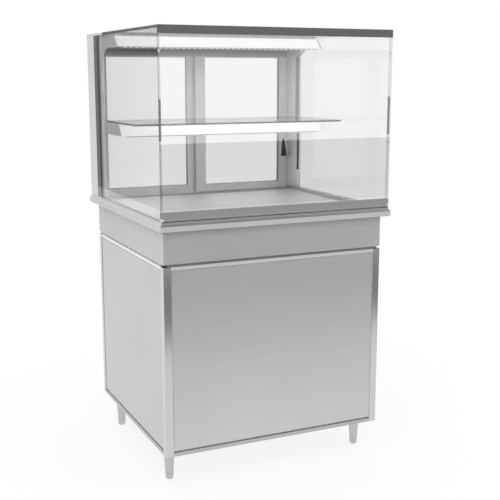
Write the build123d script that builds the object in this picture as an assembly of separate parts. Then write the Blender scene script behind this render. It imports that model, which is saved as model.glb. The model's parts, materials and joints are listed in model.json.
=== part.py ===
from build123d import *
import math
import os

# A refrigerated display case: a glass case with a shelf and two sliding rear
# doors, on a counter with a refrigerated well, on a cupboard with the machine.
# Millimetres. X to the right, Y to the back, Z up, and the origin on the floor
# under the middle of the counter. The customer's side faces -Y.

# Heights, from the floor up.
leg_height = 107.0
base_height = 605.0
shadow_gap = 8.0
apron_height = 104.0
nosing_height = 16.0
chamfer_rise = 7.0
plinth_rise = 7.0
case_height = 566.0

# Plan sizes.
counter_width = 800.0
counter_depth = 770.0
side_overhang = 18.0
front_overhang = 31.0
rear_overhang = 49.0
glass_side_inset = 6.5
glass_front_inset = 5.0
post_rear_inset = 4.0

# Sheet metal and frame tube. A cut runs past the faces it opens by the overshoot.
sheet = 1.5
frame_tube = 25.0
tube_wall = 1.5
tube_corner = 3.0
overshoot = 1.0
top_rail_height = 10.0
bottom_rail_height = 13.0
spacer_setback = 12.0
spacer_width = 20.0
apron_corner = 4.0

# Panels of the cupboard.
panel_recess = 1.5
panel_face = 3.5
panel_thickness = 16.0
panel_reveal = 2.0
panel_foot_reveal = 5.0
floor_thickness = 2.0
floor_flange = 11.0
rear_panel_height = 232.0

# Service door in the back of the cupboard.
service_gap = 1.5
hinge_axis_out = 5.0
hinge_axis_side = 1.0
hinge_pin_radius = 2.0
hinge_knuckle_radius = 4.0
hinge_knuckle_height = 22.0
hinge_leaf = 2.0
hinge_leaf_width = 20.0
hinge_end_setback = 60.0
louvre_pitch = 18.0
louvre_slot = 6.0
louvre_hood = 4.0
louvre_lip = 2.0
louvre_margin = 60.0
latch_setback = 22.0
latch_shaft_radius = 5.0
latch_head_radius = 12.0
latch_head = 5.0
latch_cam_length = 30.0
latch_cam_width = 13.0
latch_cam_thickness = 3.0
latch_reach = 4.0
latch_head_gap = 0.3
latch_slot_width = 2.0
latch_slot_depth = 1.5
latch_slot_edge = 3.0

# Legs and their adjustable feet.
leg_side_setback = 38.0
leg_front_setback = 81.0
leg_rear_setback = 92.0
leg_top_radius = 18.0
leg_foot_radius = 13.5
leg_tip_radius = 12.0
leg_plate = 3.0
leg_plate_size = 60.0
foot_height = 22.0
foot_stem_radius = 6.0
foot_stem_length = 50.0
foot_seam = 0.3
foot_edge = 6.0
stem_end_gap = 2.0

# Well, deck and air grilles.
well_wall = 20.0
well_floor = 30.0
liner_sheet = 1.2
counter_front_bar = 23.0
counter_side_bar = 28.0
counter_rear_bar = 69.0
deck_rise = 3.0
deck_sheet = 1.5
deck_gap = 1.0
deck_stiffener = 20.0
deck_stiffener_offset = 124.0
grille_side_margin = 22.0
grille_depth = 42.0
grille_edge_margin = 8.0
grille_lip = 1.0
grille_lip_width = 3.0
grille_fit_gap = 0.3
grille_drop = 8.0
grille_border = 5.0
grille_slot = 5.0
grille_pitch = 9.0

# Evaporator and its fan in the well.
coil_width = 520.0
coil_depth = 96.0
coil_height = 62.0
coil_front = 62.0
coil_rows = 4
coil_columns = 3
coil_tube_radius = 4.5
coil_fin_pitch = 20.0
coil_fin = 1.0
coil_end = 2.0
coil_tube_end = 3.0
baffle_front = 16.0
baffle_side_gap = 6.0
baffle_pass_gap = 1.0
evaporator_fan_rise = 40.0
evaporator_fan_setback = 12.0
evaporator_fan_radius = 32.0
evaporator_fan_width = 14.0
fan_hub_radius = 12.0
fan_shaft_radius = 3.0
fan_tip_gap = 3.0
fan_blade = 1.6
fan_blade_pitch = 32.0
fan_blades = 5
fan_blade_bite = 2.0
evaporator_blade_chord = 16.0
fan_ring_wall = 2.0
fan_ring_length = 28.0
evaporator_motor_length = 12.0
motor_gap = 1.0
motor_arm_width = 8.0
motor_arm_bite = 1.0
evaporator_motor_arm = 3.0

# Machine in the cupboard.
compressor_side_gap = 129.0
compressor_rear_gap = 113.0
compressor_radius = 78.0
compressor_body = 112.0
compressor_dome = 34.0
mount_height = 16.0
mount_radius = 13.0
mount_spread_x = 160.0
mount_spread_y = 110.0
mount_groove = 3.0
compressor_foot = 4.0
compressor_foot_side = 18.0
compressor_foot_end = 16.0
terminal_proud = 26.0
terminal_bite = 10.0
terminal_rise = 20.0
terminal_height = 70.0
terminal_width = 60.0
condenser_side_gap = 77.0
condenser_rear_gap = 30.0
condenser_width = 260.0
condenser_height = 250.0
condenser_depth = 44.0
condenser_rows = 8
condenser_columns = 2
condenser_fin_pitch = 12.0
condenser_fan_radius = 100.0
condenser_fan_width = 28.0
condenser_hub_radius = 28.0
condenser_blade_chord = 44.0
shroud_depth = 34.0
shroud_ring = 6.0
shroud_ring_wall = 3.0
motor_radius = 30.0
motor_length = 46.0
tray_side_gap = 52.0
tray_front_gap = 214.0
tray_width = 180.0
tray_depth = 150.0
tray_height = 45.0
drain_radius = 9.0
drain_wall = 1.5
pipe_radius = 4.0
pipe_bend = 22.0
pipe_end_gap = 0.3
pipe_pass_gap = 0.3
pipe_port_run = 30.0
suction_port_drop = 30.0
suction_run = 50.0
suction_rise = 150.0
discharge_run = 40.0
drier_margin = 40.0
drain_drop = 8.0
drier_radius = 12.0
drier_length = 90.0

# Controls on the rear apron.
control_side_gap = 57.0
control_width = 250.0
control_height = 74.0
control_depth = 26.0
thermostat_offset = -62.0
thermostat_width = 78.0
thermostat_height = 36.0
thermostat_bezel = 3.0
thermostat_body = 20.0
thermostat_rim = 3.5
button_radius = 4.0
button_length = 8.0
button_proud = 1.5
button_travel = 1.2
button_pitch = 11.0
button_round = 0.6
first_button = 6.0
display_offset = 18.0
running_gap = 0.05
display_width = 30.0
display_height = 14.0
display_recess = 0.8
rocker_width = 12.0
rocker_height = 21.0
rocker_tilt = 7.0
rocker_crest = 3.5
rocker_dip = 1.8
rocker_shoulder = 0.5
rocker_root = 4.5
rocker_axis_inset = 1.0
rocker_pitch = 34.0
rocker_offset = 44.0
rocker_collar = 2.0
rocker_collar_proud = 1.5
rocker_collar_depth = 10.0
rocker_gap = 0.5
rocker_trunnion_radius = 1.5

# Cable gland in the fixed rear panel.
gland_side_setback = 75.0
gland_top_setback = 60.0
gland_radius = 10.0
gland_hex = 13.0
gland_length = 16.0
gland_nut = 5.0
gland_bore = 4.5

# Glass case.
pane = 8.0
roof_pane = 8.0
front_pane = 6.0
front_profile = 9.0
front_gap = 0.5
top_band = 24.0
bottom_band = 28.0
front_glass_edge = 4.0
front_glass_seat = 1.0
front_hinge_gap = 1.0
front_hinge_block = 8.5
front_hinge_end_gap = 0.5
front_pin_radius = 2.0
front_pin_length = 12.0
front_pin_end_gap = 1.5
band_hinge_gap = 1.0
post_depth = 85.0
post_lip = 74.0
post_thickness = 15.5
post_wall = 2.0
roof_depth = 556.5

# Canopy under the roof glass, with its lamp.
canopy_drop = 49.0
canopy_front = 434.5
canopy_slope = 32.0
canopy_height = 35.0
canopy_sheet = 1.5
canopy_air_gap = 1.0
gusset_depth = 66.0
gusset_drop = 24.0
canopy_slot_front = 40.0
canopy_slot_depth = 80.0
canopy_slot_side = 20.0
canopy_rise_gap = 1.0

# Shelf.
shelf_level = 271.0
shelf_pane = 6.0
shelf_front = 277.0
shelf_side_gap = 1.0
shelf_beam_height = 40.0
shelf_beam_front = 411.0
shelf_beam_slope = 32.0
shelf_beam_wall = 3.0
shelf_bracket = 6.0
shelf_bracket_tail = 66.0

# Lamp strips under the canopy and the shelf.
lamp_width = 16.0
lamp_thickness = 2.0
lamp_setback = 3.0
lamp_end_gap = 12.0
lamp_pitch = 20.5
lens_radius = 4.0
lens_tip_radius = 2.4
lens_drop = 2.0

# Sliding rear doors and their tracks.
door_front_offset = 24.0
door_thickness = 14.0
door_pass_gap = 4.0
door_stile = 38.0
door_top_rail = 32.0
door_bottom_rail = 26.0
door_overlap = 10.0
door_side_gap = 0.5
door_glass = 5.0
door_glass_bite = 8.0
sill_plate = 3.0
rib_width = 3.0
rib_height = 5.0
rib_side_gap = 0.4
rib_top_gap = 0.3
door_lift = 1.0
track_engage = 5.0
track_top_gap = 6.0
track_wall = 3.5
track_side_gap = 0.5
pull_width = 24.0
pull_height = 110.0
pull_flange = 2.0
pull_rim = 3.0
pull_depth = 9.0
pull_wall = 1.5

# Screws.
screw_head_radius = 3.5
screw_head = 2.0
screw_round = 1.2
screw_edge = 8.0
panel_screw_edge = 12.0

# Levels that follow from the heights.
base_top = leg_height + base_height
apron_bottom = base_top + shadow_gap
counter_bottom = apron_bottom + apron_height
slab_top = counter_bottom + nosing_height
chamfer_top = slab_top + chamfer_rise
case_bottom = chamfer_top + plinth_rise
case_top = case_bottom + case_height
pane_top = case_top - roof_pane
rail_bottom = base_top - top_rail_height
rail_top = leg_height + bottom_rail_height
deck_top = slab_top + deck_rise

# Faces that follow from the plan sizes.
counter_x = counter_width / 2
counter_front = -counter_depth / 2
counter_rear = counter_depth / 2
base_x = counter_x - side_overhang
base_front = counter_front + front_overhang
base_rear = counter_rear - rear_overhang
frame_x = base_x - frame_tube
frame_front = base_front + frame_tube
frame_rear = base_rear - frame_tube
glass_x = counter_x - glass_side_inset
glass_front = counter_front + glass_front_inset
post_rear = counter_rear - post_rear_inset
post_front = post_rear - post_depth
lip_front = post_front - post_lip
post_inner_x = glass_x - post_thickness
side_pane_front = glass_front + front_profile + front_gap
cover_front = side_pane_front + roof_depth
open_x = counter_x - counter_side_bar
open_front = counter_front + counter_front_bar
open_rear = counter_rear - counter_rear_bar
well_x = base_x - sheet - well_wall
well_front = base_front + sheet + well_wall
well_rear = base_rear - sheet - well_wall
liner_floor = apron_bottom + well_floor + liner_sheet
flange_top = counter_bottom + liner_sheet
floor_top = leg_height + floor_thickness
tray_x = frame_x - tray_side_gap - tray_width / 2
tray_y = frame_front + tray_front_gap + tray_depth / 2
compressor_x = -frame_x + compressor_side_gap + compressor_radius
compressor_y = frame_rear - compressor_rear_gap - compressor_radius
condenser_x = frame_x - condenser_side_gap - condenser_width / 2
control_x = base_x - control_side_gap - control_width / 2


def block(x, y, z):
    """A block between its pairs of X, Y and Z faces."""
    size = Box(x[1] - x[0], y[1] - y[0], z[1] - z[0])
    return Pos((x[0] + x[1]) / 2, (y[0] + y[1]) / 2, (z[0] + z[1]) / 2) * size


def rod(start, axis, radius, length):
    """A round bar from a point along an axis."""
    return Solid.make_cylinder(radius, length, Plane(start, z_dir=axis))


def prism_x(outline, x):
    """A straight length along X of an outline of (y, z) points."""
    corners = [Vector(x[0], y, z) for y, z in outline]
    face = Face(Wire.make_polygon(corners, close=True))
    return Solid.extrude(face, Vector(x[1] - x[0], 0, 0))


def prism_z(outline, z):
    """A straight height of an outline of (x, y) points."""
    corners = [Vector(x, y, z[0]) for x, y in outline]
    face = Face(Wire.make_polygon(corners, close=True))
    return Solid.extrude(face, Vector(0, 0, z[1] - z[0]))


def rectangle_wire(half_x, y, z):
    """A level rectangle round the middle of X, between two Y faces."""
    corners = [(-half_x, y[0], z), (half_x, y[0], z), (half_x, y[1], z), (-half_x, y[1], z)]
    return Wire.make_polygon([Vector(*corner) for corner in corners], close=True)


def square_tube(x, y, z, axis, wall):
    """A rectangular tube, open at both ends of its axis."""
    inner = [[x[0] + wall, x[1] - wall], [y[0] + wall, y[1] - wall], [z[0] + wall, z[1] - wall]]
    inner[axis] = [(x, y, z)[axis][0], (x, y, z)[axis][1]]
    return block(x, y, z) - block(*inner)


def sloped_section(front, rear, z, slope, inset):
    """Outline of a beam with a sloped front as (y, z) points, drawn in by an inset."""
    height = z[1] - z[0]
    lean = slope / height
    wall = inset * math.hypot(slope, height) / height
    return [
        (front + inset * lean + wall, z[0] + inset),
        (front + slope - inset * lean + wall, z[1] - inset),
        (rear - inset, z[1] - inset),
        (rear - inset, z[0] + inset),
    ]


def upright_edges(shape, radius, sides):
    """Rounds the upright edges at the given (x, y) corners."""
    edges = []
    for edge in shape.edges().filter_by(Axis.Z):
        for x, y in sides:
            if abs(edge.center().X - x) < 0.01 and abs(edge.center().Y - y) < 0.01:
                edges.append(edge)
    return fillet(edges, radius)


def mitred_bars(ring, x_out, front, rear, z):
    """Cuts a rectangular ring along its corner mitres into four bars."""
    reach = min(x_out, (rear - front) / 2) - overshoot
    corners = [
        (-x_out, front, 1, 1),
        (x_out, front, -1, 1),
        (x_out, rear, -1, -1),
        (-x_out, rear, 1, -1),
    ]
    bars = []
    for first, second in zip(corners, corners[1:] + corners[:1]):
        wedge = []
        for x, y, into_x, into_y in (first, second):
            near = (x - into_x * overshoot, y - into_y * overshoot)
            deep = (x + into_x * reach, y + into_y * reach)
            wedge.append((near, deep))
        outline = [wedge[0][0], wedge[1][0], wedge[1][1], wedge[0][1]]
        bars.append(ring & prism_z(outline, z))
    return bars


def save(node, *solids):
    """Writes one node, as one solid or as a group of separate solids."""
    shapes = []
    for item in solids:
        shapes.extend(item.solids())
    group = shapes[0] if len(shapes) == 1 else Compound(children=shapes)
    group.label = node
    export_step(group, f"parts/{node}.step")


def corner_posts():
    """Four upright tubes of the cupboard's frame, with a rounded outer corner."""
    posts = []
    for side in (-1, 1):
        for face, step in ((base_front, 1), (base_rear, -1)):
            x = sorted((side * base_x, side * frame_x))
            y = sorted((face, face + step * frame_tube))
            outer = block(x, y, (leg_height, base_top))
            outer = upright_edges(outer, tube_corner, [(side * base_x, face)])
            inner_x = (x[0] + tube_wall, x[1] - tube_wall)
            inner_y = (y[0] + tube_wall, y[1] - tube_wall)
            posts.append(outer - block(inner_x, inner_y, (leg_height, base_top)))
    return posts


def rails(z):
    """Front, rear and side rails of the frame, between the corner posts."""
    across = (-frame_x, frame_x)
    along = (frame_front, frame_rear)
    return [
        square_tube(across, (base_front, frame_front), z, 0, tube_wall),
        square_tube(across, (frame_rear, base_rear), z, 0, tube_wall),
        square_tube((-base_x, -frame_x), along, z, 1, tube_wall),
        square_tube((frame_x, base_x), along, z, 1, tube_wall),
    ]


def spacer_bars():
    """Set-back bars on the frame that carry the counter and make the shadow gap."""
    x = base_x - spacer_setback
    front = base_front + spacer_setback
    rear = base_rear - spacer_setback
    z = (base_top, apron_bottom)
    hole_y = (front + spacer_width, rear - spacer_width)
    hole = block((-x + spacer_width, x - spacer_width), hole_y, z)
    ring = block((-x, x), (front, rear), z) - hole
    return mitred_bars(ring, x, front, rear, z)


def tray_panel(width, height, foot_reveal):
    """A folded panel standing on its lower edge, its face towards -Y at y = 0.

    Its edge sits back from the face all round, so that a dark line shows there.
    """
    half = width / 2
    face_z = (foot_reveal, height - panel_reveal)
    face = block((-half + panel_reveal, half - panel_reveal), (0, panel_face), face_z)
    body = block((-half, half), (panel_face, panel_thickness), (0, height))
    hollow_x = half - panel_reveal - sheet
    hollow_z = (foot_reveal + sheet, height - panel_reveal - sheet)
    hollow = block((-hollow_x, hollow_x), (sheet, panel_thickness), hollow_z)
    return face + body - hollow


panel_height = rail_bottom - rail_top


def front_panel():
    """The plain front panel, between the posts and the rails."""
    panel = tray_panel(2 * frame_x, panel_height, panel_foot_reveal)
    return Pos(0, base_front + panel_recess, rail_top) * panel


def side_panels():
    """The two plain side panels."""
    panel = tray_panel(frame_rear - frame_front, panel_height, panel_foot_reveal)
    middle = (frame_front + frame_rear) / 2
    left = Pos(-base_x + panel_recess, middle, rail_top) * Rot(Z=-90) * panel
    right = Pos(base_x - panel_recess, middle, rail_top) * Rot(Z=90) * panel
    return [left, right]


gland_x = frame_x - gland_side_setback
gland_z = rail_bottom - gland_top_setback
rear_face = base_rear - panel_recess


def rear_panel():
    """The fixed panel above the service door, with the hole for the cable gland."""
    panel = tray_panel(2 * frame_x, rear_panel_height, panel_reveal)
    placed = Pos(0, rear_face, rail_bottom - rear_panel_height) * Rot(Z=180) * panel
    start = (gland_x, rear_face - sheet - overshoot, gland_z)
    hole = rod(start, (0, 1, 0), gland_radius, sheet + 2 * overshoot)
    return placed - hole


def cable_gland():
    """Screwed gland for the mains cable: body, nut inside and a bore through."""
    out = rod((gland_x, rear_face, gland_z), (0, 1, 0), gland_radius, gland_length)
    seat = Plane((gland_x, rear_face, gland_z), x_dir=(1, 0, 0), z_dir=(0, 1, 0))
    collar = extrude(seat * RegularPolygon(gland_hex, 6), gland_nut)
    neck = rod((gland_x, rear_face - sheet, gland_z), (0, 1, 0), gland_radius, sheet)
    inside = Plane((gland_x, rear_face - sheet, gland_z), x_dir=(1, 0, 0), z_dir=(0, -1, 0))
    nut = extrude(inside * RegularPolygon(gland_hex, 6), gland_nut)
    body = out + collar + neck + nut
    start = (gland_x, rear_face - sheet - gland_nut - overshoot, gland_z)
    length = gland_length + sheet + gland_nut + 2 * overshoot
    return body - rod(start, (0, 1, 0), gland_bore, length)


door_bottom = rail_top + service_gap
door_top = rail_bottom - rear_panel_height - service_gap
door_x = frame_x - service_gap
hinge_x = -frame_x + hinge_axis_side
hinge_y = base_rear + hinge_axis_out
hinge_levels = (door_bottom + hinge_end_setback, door_top - hinge_end_setback)
latch_x = door_x - latch_setback
latch_z = (door_bottom + door_top) / 2


def service_door():
    """The louvred door to the machine, with its hinge knuckles."""
    height = door_top - door_bottom
    door_y = (rear_face - panel_thickness, rear_face)
    door = block((-door_x, door_x), door_y, (door_bottom, door_top))
    hollow_z = (door_bottom + sheet, door_top - sheet)
    hollow_y = (rear_face - panel_thickness, rear_face - sheet)
    door = door - block((-door_x + sheet, door_x - sheet), hollow_y, hollow_z)
    slot_x = (-door_x + louvre_margin, door_x - louvre_margin)
    rows = int((height - 2 * louvre_margin) / louvre_pitch) + 1
    first = (door_bottom + door_top) / 2 - (rows - 1) * louvre_pitch / 2
    for row in range(rows):
        z = first + row * louvre_pitch
        slot_y = (rear_face - sheet - overshoot, rear_face + overshoot)
        door = door - block(slot_x, slot_y, (z - louvre_slot / 2, z + louvre_slot / 2))
        upper = z + louvre_slot / 2
        hood_top = upper + louvre_hood
        hood_out = rear_face + louvre_hood
        lip = z - louvre_slot / 2 + louvre_lip
        outline = [
            (rear_face, upper),
            (rear_face, hood_top),
            (hood_out, lip + sheet),
            (hood_out, lip),
        ]
        door = door + prism_x(outline, slot_x)
    for level in hinge_levels:
        half = hinge_knuckle_height / 2
        leaf_x = (hinge_x, hinge_x + hinge_leaf_width + hinge_knuckle_radius)
        leaf_y = (rear_face, rear_face + hinge_leaf)
        door = door + block(leaf_x, leaf_y, (level - half, level + half))
        web_x = (hinge_x, hinge_x + hinge_leaf)
        door = door + block(web_x, (rear_face, hinge_y), (level - half, level + half))
        start = (hinge_x, hinge_y, level - half)
        door = door + rod(start, (0, 0, 1), hinge_knuckle_radius, 2 * half)
        bore = hinge_pin_radius + running_gap
        start = (hinge_x, hinge_y, level - half - overshoot)
        door = door - rod(start, (0, 0, 1), bore, 2 * (half + overshoot))
    bore = latch_shaft_radius + running_gap
    start = (latch_x, rear_face - sheet - overshoot, latch_z)
    return door - rod(start, (0, 1, 0), bore, sheet + 2 * overshoot)


def service_door_hinges():
    """Hinge leaves on the rear post, each with two knuckles and a pin."""
    hinges = []
    for level in hinge_levels:
        half = hinge_knuckle_height / 2
        end = half + hinge_knuckle_height
        leaf_x = (hinge_x - hinge_leaf_width, hinge_x - hinge_knuckle_radius - running_gap)
        leaf_y = (base_rear, base_rear + hinge_leaf)
        plate = block(leaf_x, leaf_y, (level - end, level + end))
        pin = rod((hinge_x, hinge_y, level - end), (0, 0, 1), hinge_pin_radius, 2 * end)
        hinge = plate + pin
        for bottom in (level - end, level + half + running_gap):
            length = hinge_knuckle_height - running_gap
            knuckle = rod((hinge_x, hinge_y, bottom), (0, 0, 1), hinge_knuckle_radius, length)
            web_x = (hinge_x - hinge_knuckle_radius - hinge_leaf, hinge_x)
            web_y = (base_rear, hinge_y)
            arm = block(web_x, web_y, (bottom, bottom + length))
            hinge = hinge + knuckle + arm
        hinges.append(hinge)
    return hinges


def service_door_latch():
    """Quarter-turn latch, stored unlocked with its cam hanging down."""
    cam_front = frame_rear - latch_reach - latch_cam_thickness
    start = (latch_x, rear_face + latch_head_gap, latch_z)
    head = rod(start, (0, 1, 0), latch_head_radius, latch_head)
    shaft_length = rear_face + latch_head - cam_front
    shaft = rod((latch_x, cam_front, latch_z), (0, 1, 0), latch_shaft_radius, shaft_length)
    half = latch_cam_width / 2
    cam_y = (cam_front, cam_front + latch_cam_thickness)
    cam_z = (latch_z - latch_cam_length, latch_z + half)
    cam = block((latch_x - half, latch_x + half), cam_y, cam_z)
    head_face = rear_face + latch_head_gap + latch_head
    slot_x = (latch_x - latch_slot_width / 2, latch_x + latch_slot_width / 2)
    slot_half = latch_head_radius - latch_slot_edge
    slot_y = (head_face - latch_slot_depth, head_face)
    slot = block(slot_x, slot_y, (latch_z - slot_half, latch_z + slot_half))
    return head + shaft + cam - slot


leg_x = base_x - leg_side_setback
leg_places = {
    "front_left": (-leg_x, base_front + leg_front_setback),
    "front_right": (leg_x, base_front + leg_front_setback),
    "rear_left": (-leg_x, base_rear - leg_rear_setback),
    "rear_right": (leg_x, base_rear - leg_rear_setback),
}
leg_top = leg_height - leg_plate


def base_floor():
    """The cupboard's floor pan, folded up against the bottom rails."""
    z = (leg_height, leg_height + floor_flange)
    pan = block((-frame_x, frame_x), (frame_front, frame_rear), z)
    hollow_x = (-frame_x + sheet, frame_x - sheet)
    hollow_y = (frame_front + sheet, frame_rear - sheet)
    return pan - block(hollow_x, hollow_y, (floor_top, z[1]))


def leg_bodies():
    """Four tapered legs with their fixing plates, each bored for a foot's stem."""
    legs = []
    bore = foot_stem_radius + running_gap
    for x, y in leg_places.values():
        half = leg_plate_size / 2
        plate = block((x - half, x + half), (y - half, y + half), (leg_top, leg_height))
        bottom = Plane((x, y, foot_height))
        length = leg_top - foot_height
        taper = Solid.make_cone(leg_foot_radius, leg_top_radius, length, bottom)
        depth = foot_stem_length + stem_end_gap
        legs.append(plate + taper - rod((x, y, foot_height), (0, 0, 1), bore, depth))
    return legs


def foot(x, y):
    """A screwed foot: a tapered tip with a rounded end and its threaded stem."""
    tip_top = foot_height - foot_seam
    tip = Solid.make_cone(leg_tip_radius, leg_foot_radius, tip_top, Plane((x, y, 0)))
    tip = fillet(tip.edges().group_by(Axis.Z)[0], foot_edge)
    return tip + rod((x, y, tip_top), (0, 0, 1), foot_stem_radius, foot_stem_length)


def apron():
    """The upper stainless band round the refrigerated well."""
    z = (apron_bottom, counter_bottom)
    corners = [(sx * base_x, y) for sx in (-1, 1) for y in (base_front, base_rear)]
    outer = block((-base_x, base_x), (base_front, base_rear), z)
    outer = upright_edges(outer, apron_corner, corners)
    inner_y = (base_front + sheet, base_rear - sheet)
    inner = block((-base_x + sheet, base_x - sheet), inner_y, z)
    return mitred_bars(outer - inner, base_x, base_front, base_rear, z)


def countertop():
    """The counter: a slab with a nosing, a sloped edge and the plinth of the case.

    The plinth stops between the rear posts, where the door track lies.
    """
    z = (counter_bottom, case_bottom)
    slab_z = (counter_bottom, slab_top)
    slab = block((-counter_x, counter_x), (counter_front, counter_rear), slab_z)
    lower = rectangle_wire(counter_x, (counter_front, counter_rear), slab_top)
    upper = rectangle_wire(glass_x, (glass_front, post_rear), chamfer_top)
    slope = Solid.make_loft([lower, upper], True)
    plinth = block((-glass_x, glass_x), (glass_front, post_rear), (chamfer_top, case_bottom))
    opening = block((-open_x, open_x), (open_front, open_rear), z)
    notch_x = (-post_inner_x, post_inner_x)
    notch_y = (open_rear - overshoot, counter_rear + overshoot)
    notch = block(notch_x, notch_y, (slab_top, case_bottom))
    ring = slab + slope + plinth - opening - notch
    return mitred_bars(ring, counter_x, counter_front, counter_rear, z)


drain_x = tray_x
drain_y = tray_y
coil_row_pitch = coil_height / coil_rows
coil_column_pitch = coil_depth / coil_columns
port_x = -coil_width / 2 - pipe_port_run
suction_place = (port_x, coil_front + coil_column_pitch / 2)
liquid_place = (port_x, coil_front + coil_depth - coil_column_pitch / 2)


def well_insulation():
    """Foam walls and floor of the well, inside the apron."""
    outer_x = base_x - sheet
    outer_front = base_front + sheet
    outer_rear = base_rear - sheet
    z = (apron_bottom + well_floor, counter_bottom)
    floor = block((-outer_x, outer_x), (outer_front, outer_rear), (apron_bottom, z[0]))
    floor = floor - rod((drain_x, drain_y, apron_bottom), (0, 0, 1), drain_radius, well_floor)
    for x, y in (suction_place, liquid_place):
        start = (x, y, apron_bottom)
        floor = floor - rod(start, (0, 0, 1), pipe_radius + pipe_pass_gap, well_floor)
    across = (-outer_x, outer_x)
    walls = [
        block(across, (outer_front, well_front), z),
        block(across, (well_rear, outer_rear), z),
        block((-outer_x, -well_x), (well_front, well_rear), z),
        block((well_x, outer_x), (well_front, well_rear), z),
    ]
    return [floor] + walls


flange_x = open_x - deck_gap / 2
flange_front = open_front + deck_gap / 2
flange_rear = open_rear - deck_gap / 2


def well_liner():
    """The stainless tank of the well, with the flange that the deck rests on."""
    bottom = apron_bottom + well_floor
    tank = block((-well_x, well_x), (well_front, well_rear), (bottom, flange_top))
    flange_z = (counter_bottom, flange_top)
    flange = block((-flange_x, flange_x), (flange_front, flange_rear), flange_z)
    hollow_x = (-well_x + liner_sheet, well_x - liner_sheet)
    hollow_y = (well_front + liner_sheet, well_rear - liner_sheet)
    liner = tank + flange - block(hollow_x, hollow_y, (liner_floor, flange_top))
    start = bottom - overshoot
    length = liner_sheet + 2 * overshoot
    liner = liner - rod((drain_x, drain_y, start), (0, 0, 1), drain_radius, length)
    for x, y in (suction_place, liquid_place):
        liner = liner - rod((x, y, start), (0, 0, 1), pipe_radius + pipe_pass_gap, length)
    return liner


grille_x = open_x - deck_gap - grille_side_margin
rear_grille_end = well_rear - liner_sheet - grille_edge_margin
rear_grille = (rear_grille_end - grille_depth, rear_grille_end)
front_grille_start = well_front + liner_sheet + grille_edge_margin
front_grille = (front_grille_start, front_grille_start + grille_depth)


def display_deck():
    """The removable deck pan, with a cut-out for each air grille."""
    x = open_x - deck_gap
    front = open_front + deck_gap
    rear = open_rear - deck_gap
    pan = block((-x, x), (front, rear), (flange_top, deck_top))
    hollow_y = (front + deck_sheet, rear - deck_sheet)
    hollow = block((-x + deck_sheet, x - deck_sheet), hollow_y, (flange_top, deck_top - deck_sheet))
    deck = pan - hollow
    for side in (-1, 1):
        middle = side * deck_stiffener_offset
        stiffener_x = (middle - deck_stiffener / 2, middle + deck_stiffener / 2)
        stiffener_y = (front_grille[1] + grille_edge_margin, rear_grille[0] - grille_edge_margin)
        deck = deck + block(stiffener_x, stiffener_y, (flange_top, deck_top - deck_sheet))
    for grille in (front_grille, rear_grille):
        deck = deck - block((-grille_x, grille_x), grille, (flange_top, deck_top))
    return deck


def air_grilles():
    """Two slotted grilles that drop into the deck, each with a lip on top."""
    grilles = []
    for grille in (front_grille, rear_grille):
        x = grille_x - grille_fit_gap
        y = (grille[0] + grille_fit_gap, grille[1] - grille_fit_gap)
        insert = block((-x, x), y, (deck_top - grille_drop, deck_top))
        lip_y = (grille[0] - grille_lip_width, grille[1] + grille_lip_width)
        lip_x = grille_x + grille_lip_width
        strip = insert + block((-lip_x, lip_x), lip_y, (deck_top, deck_top + grille_lip))
        count = int((2 * x - 2 * grille_border) / grille_pitch)
        first = -(count - 1) * grille_pitch / 2
        slot_y = (y[0] + grille_border, y[1] - grille_border)
        slot_z = (deck_top - grille_drop, deck_top + grille_lip)
        slots = []
        for index in range(count):
            middle = first + index * grille_pitch
            slot_x = (middle - grille_slot / 2, middle + grille_slot / 2)
            slots.append(block(slot_x, slot_y, slot_z))
        grilles.append(strip - slots)
    return grilles


def finned_block(x, y, z, rows, columns, fin_pitch):
    """A coil: end plates, fins across X and tubes through them all."""
    width = x[1] - x[0]
    count = int((width - 2 * coil_end) / fin_pitch)
    first = (x[0] + x[1]) / 2 - (count - 1) * fin_pitch / 2
    pieces = [
        block((x[0], x[0] + coil_end), y, z),
        block((x[1] - coil_end, x[1]), y, z),
    ]
    for index in range(count):
        middle = first + index * fin_pitch
        pieces.append(block((middle - coil_fin / 2, middle + coil_fin / 2), y, z))
    row_pitch = (z[1] - z[0]) / rows
    column_pitch = (y[1] - y[0]) / columns
    for row in range(rows):
        for column in range(columns):
            tube_y = y[0] + (column + 0.5) * column_pitch
            tube_z = z[0] + (row + 0.5) * row_pitch
            start = (x[0] - coil_tube_end, tube_y, tube_z)
            pieces.append(rod(start, (1, 0, 0), coil_tube_radius, width + 2 * coil_tube_end))
    return pieces[0] + pieces[1:]


coil_z = (liner_floor, liner_floor + coil_height)
coil_y = (coil_front, coil_front + coil_depth)


def evaporator_coil():
    """The evaporator, on the floor of the well."""
    x = (-coil_width / 2, coil_width / 2)
    return finned_block(x, coil_y, coil_z, coil_rows, coil_columns, coil_fin_pitch)


def fan(centre, radius, hub_radius, width, blade_chord):
    """A fan rotor about Y, with its hub bored for the motor's shaft."""
    x, y, z = centre
    rotor = rod((x, y - width / 2, z), (0, 1, 0), hub_radius, width)
    length = radius - hub_radius + 2 * fan_blade_bite
    middle = hub_radius - fan_blade_bite + length / 2
    for index in range(fan_blades):
        blade = Pos(middle, 0, 0) * Rot(X=fan_blade_pitch) * Box(length, fan_blade, blade_chord)
        rotor = rotor + Pos(x, y, z) * Rot(Y=index * 360 / fan_blades) * blade
    envelope = rod((x, y - width / 2, z), (0, 1, 0), radius, width)
    bore = rod((x, y - width / 2, z), (0, 1, 0), fan_shaft_radius + running_gap, width)
    return (rotor & envelope) - bore


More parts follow.
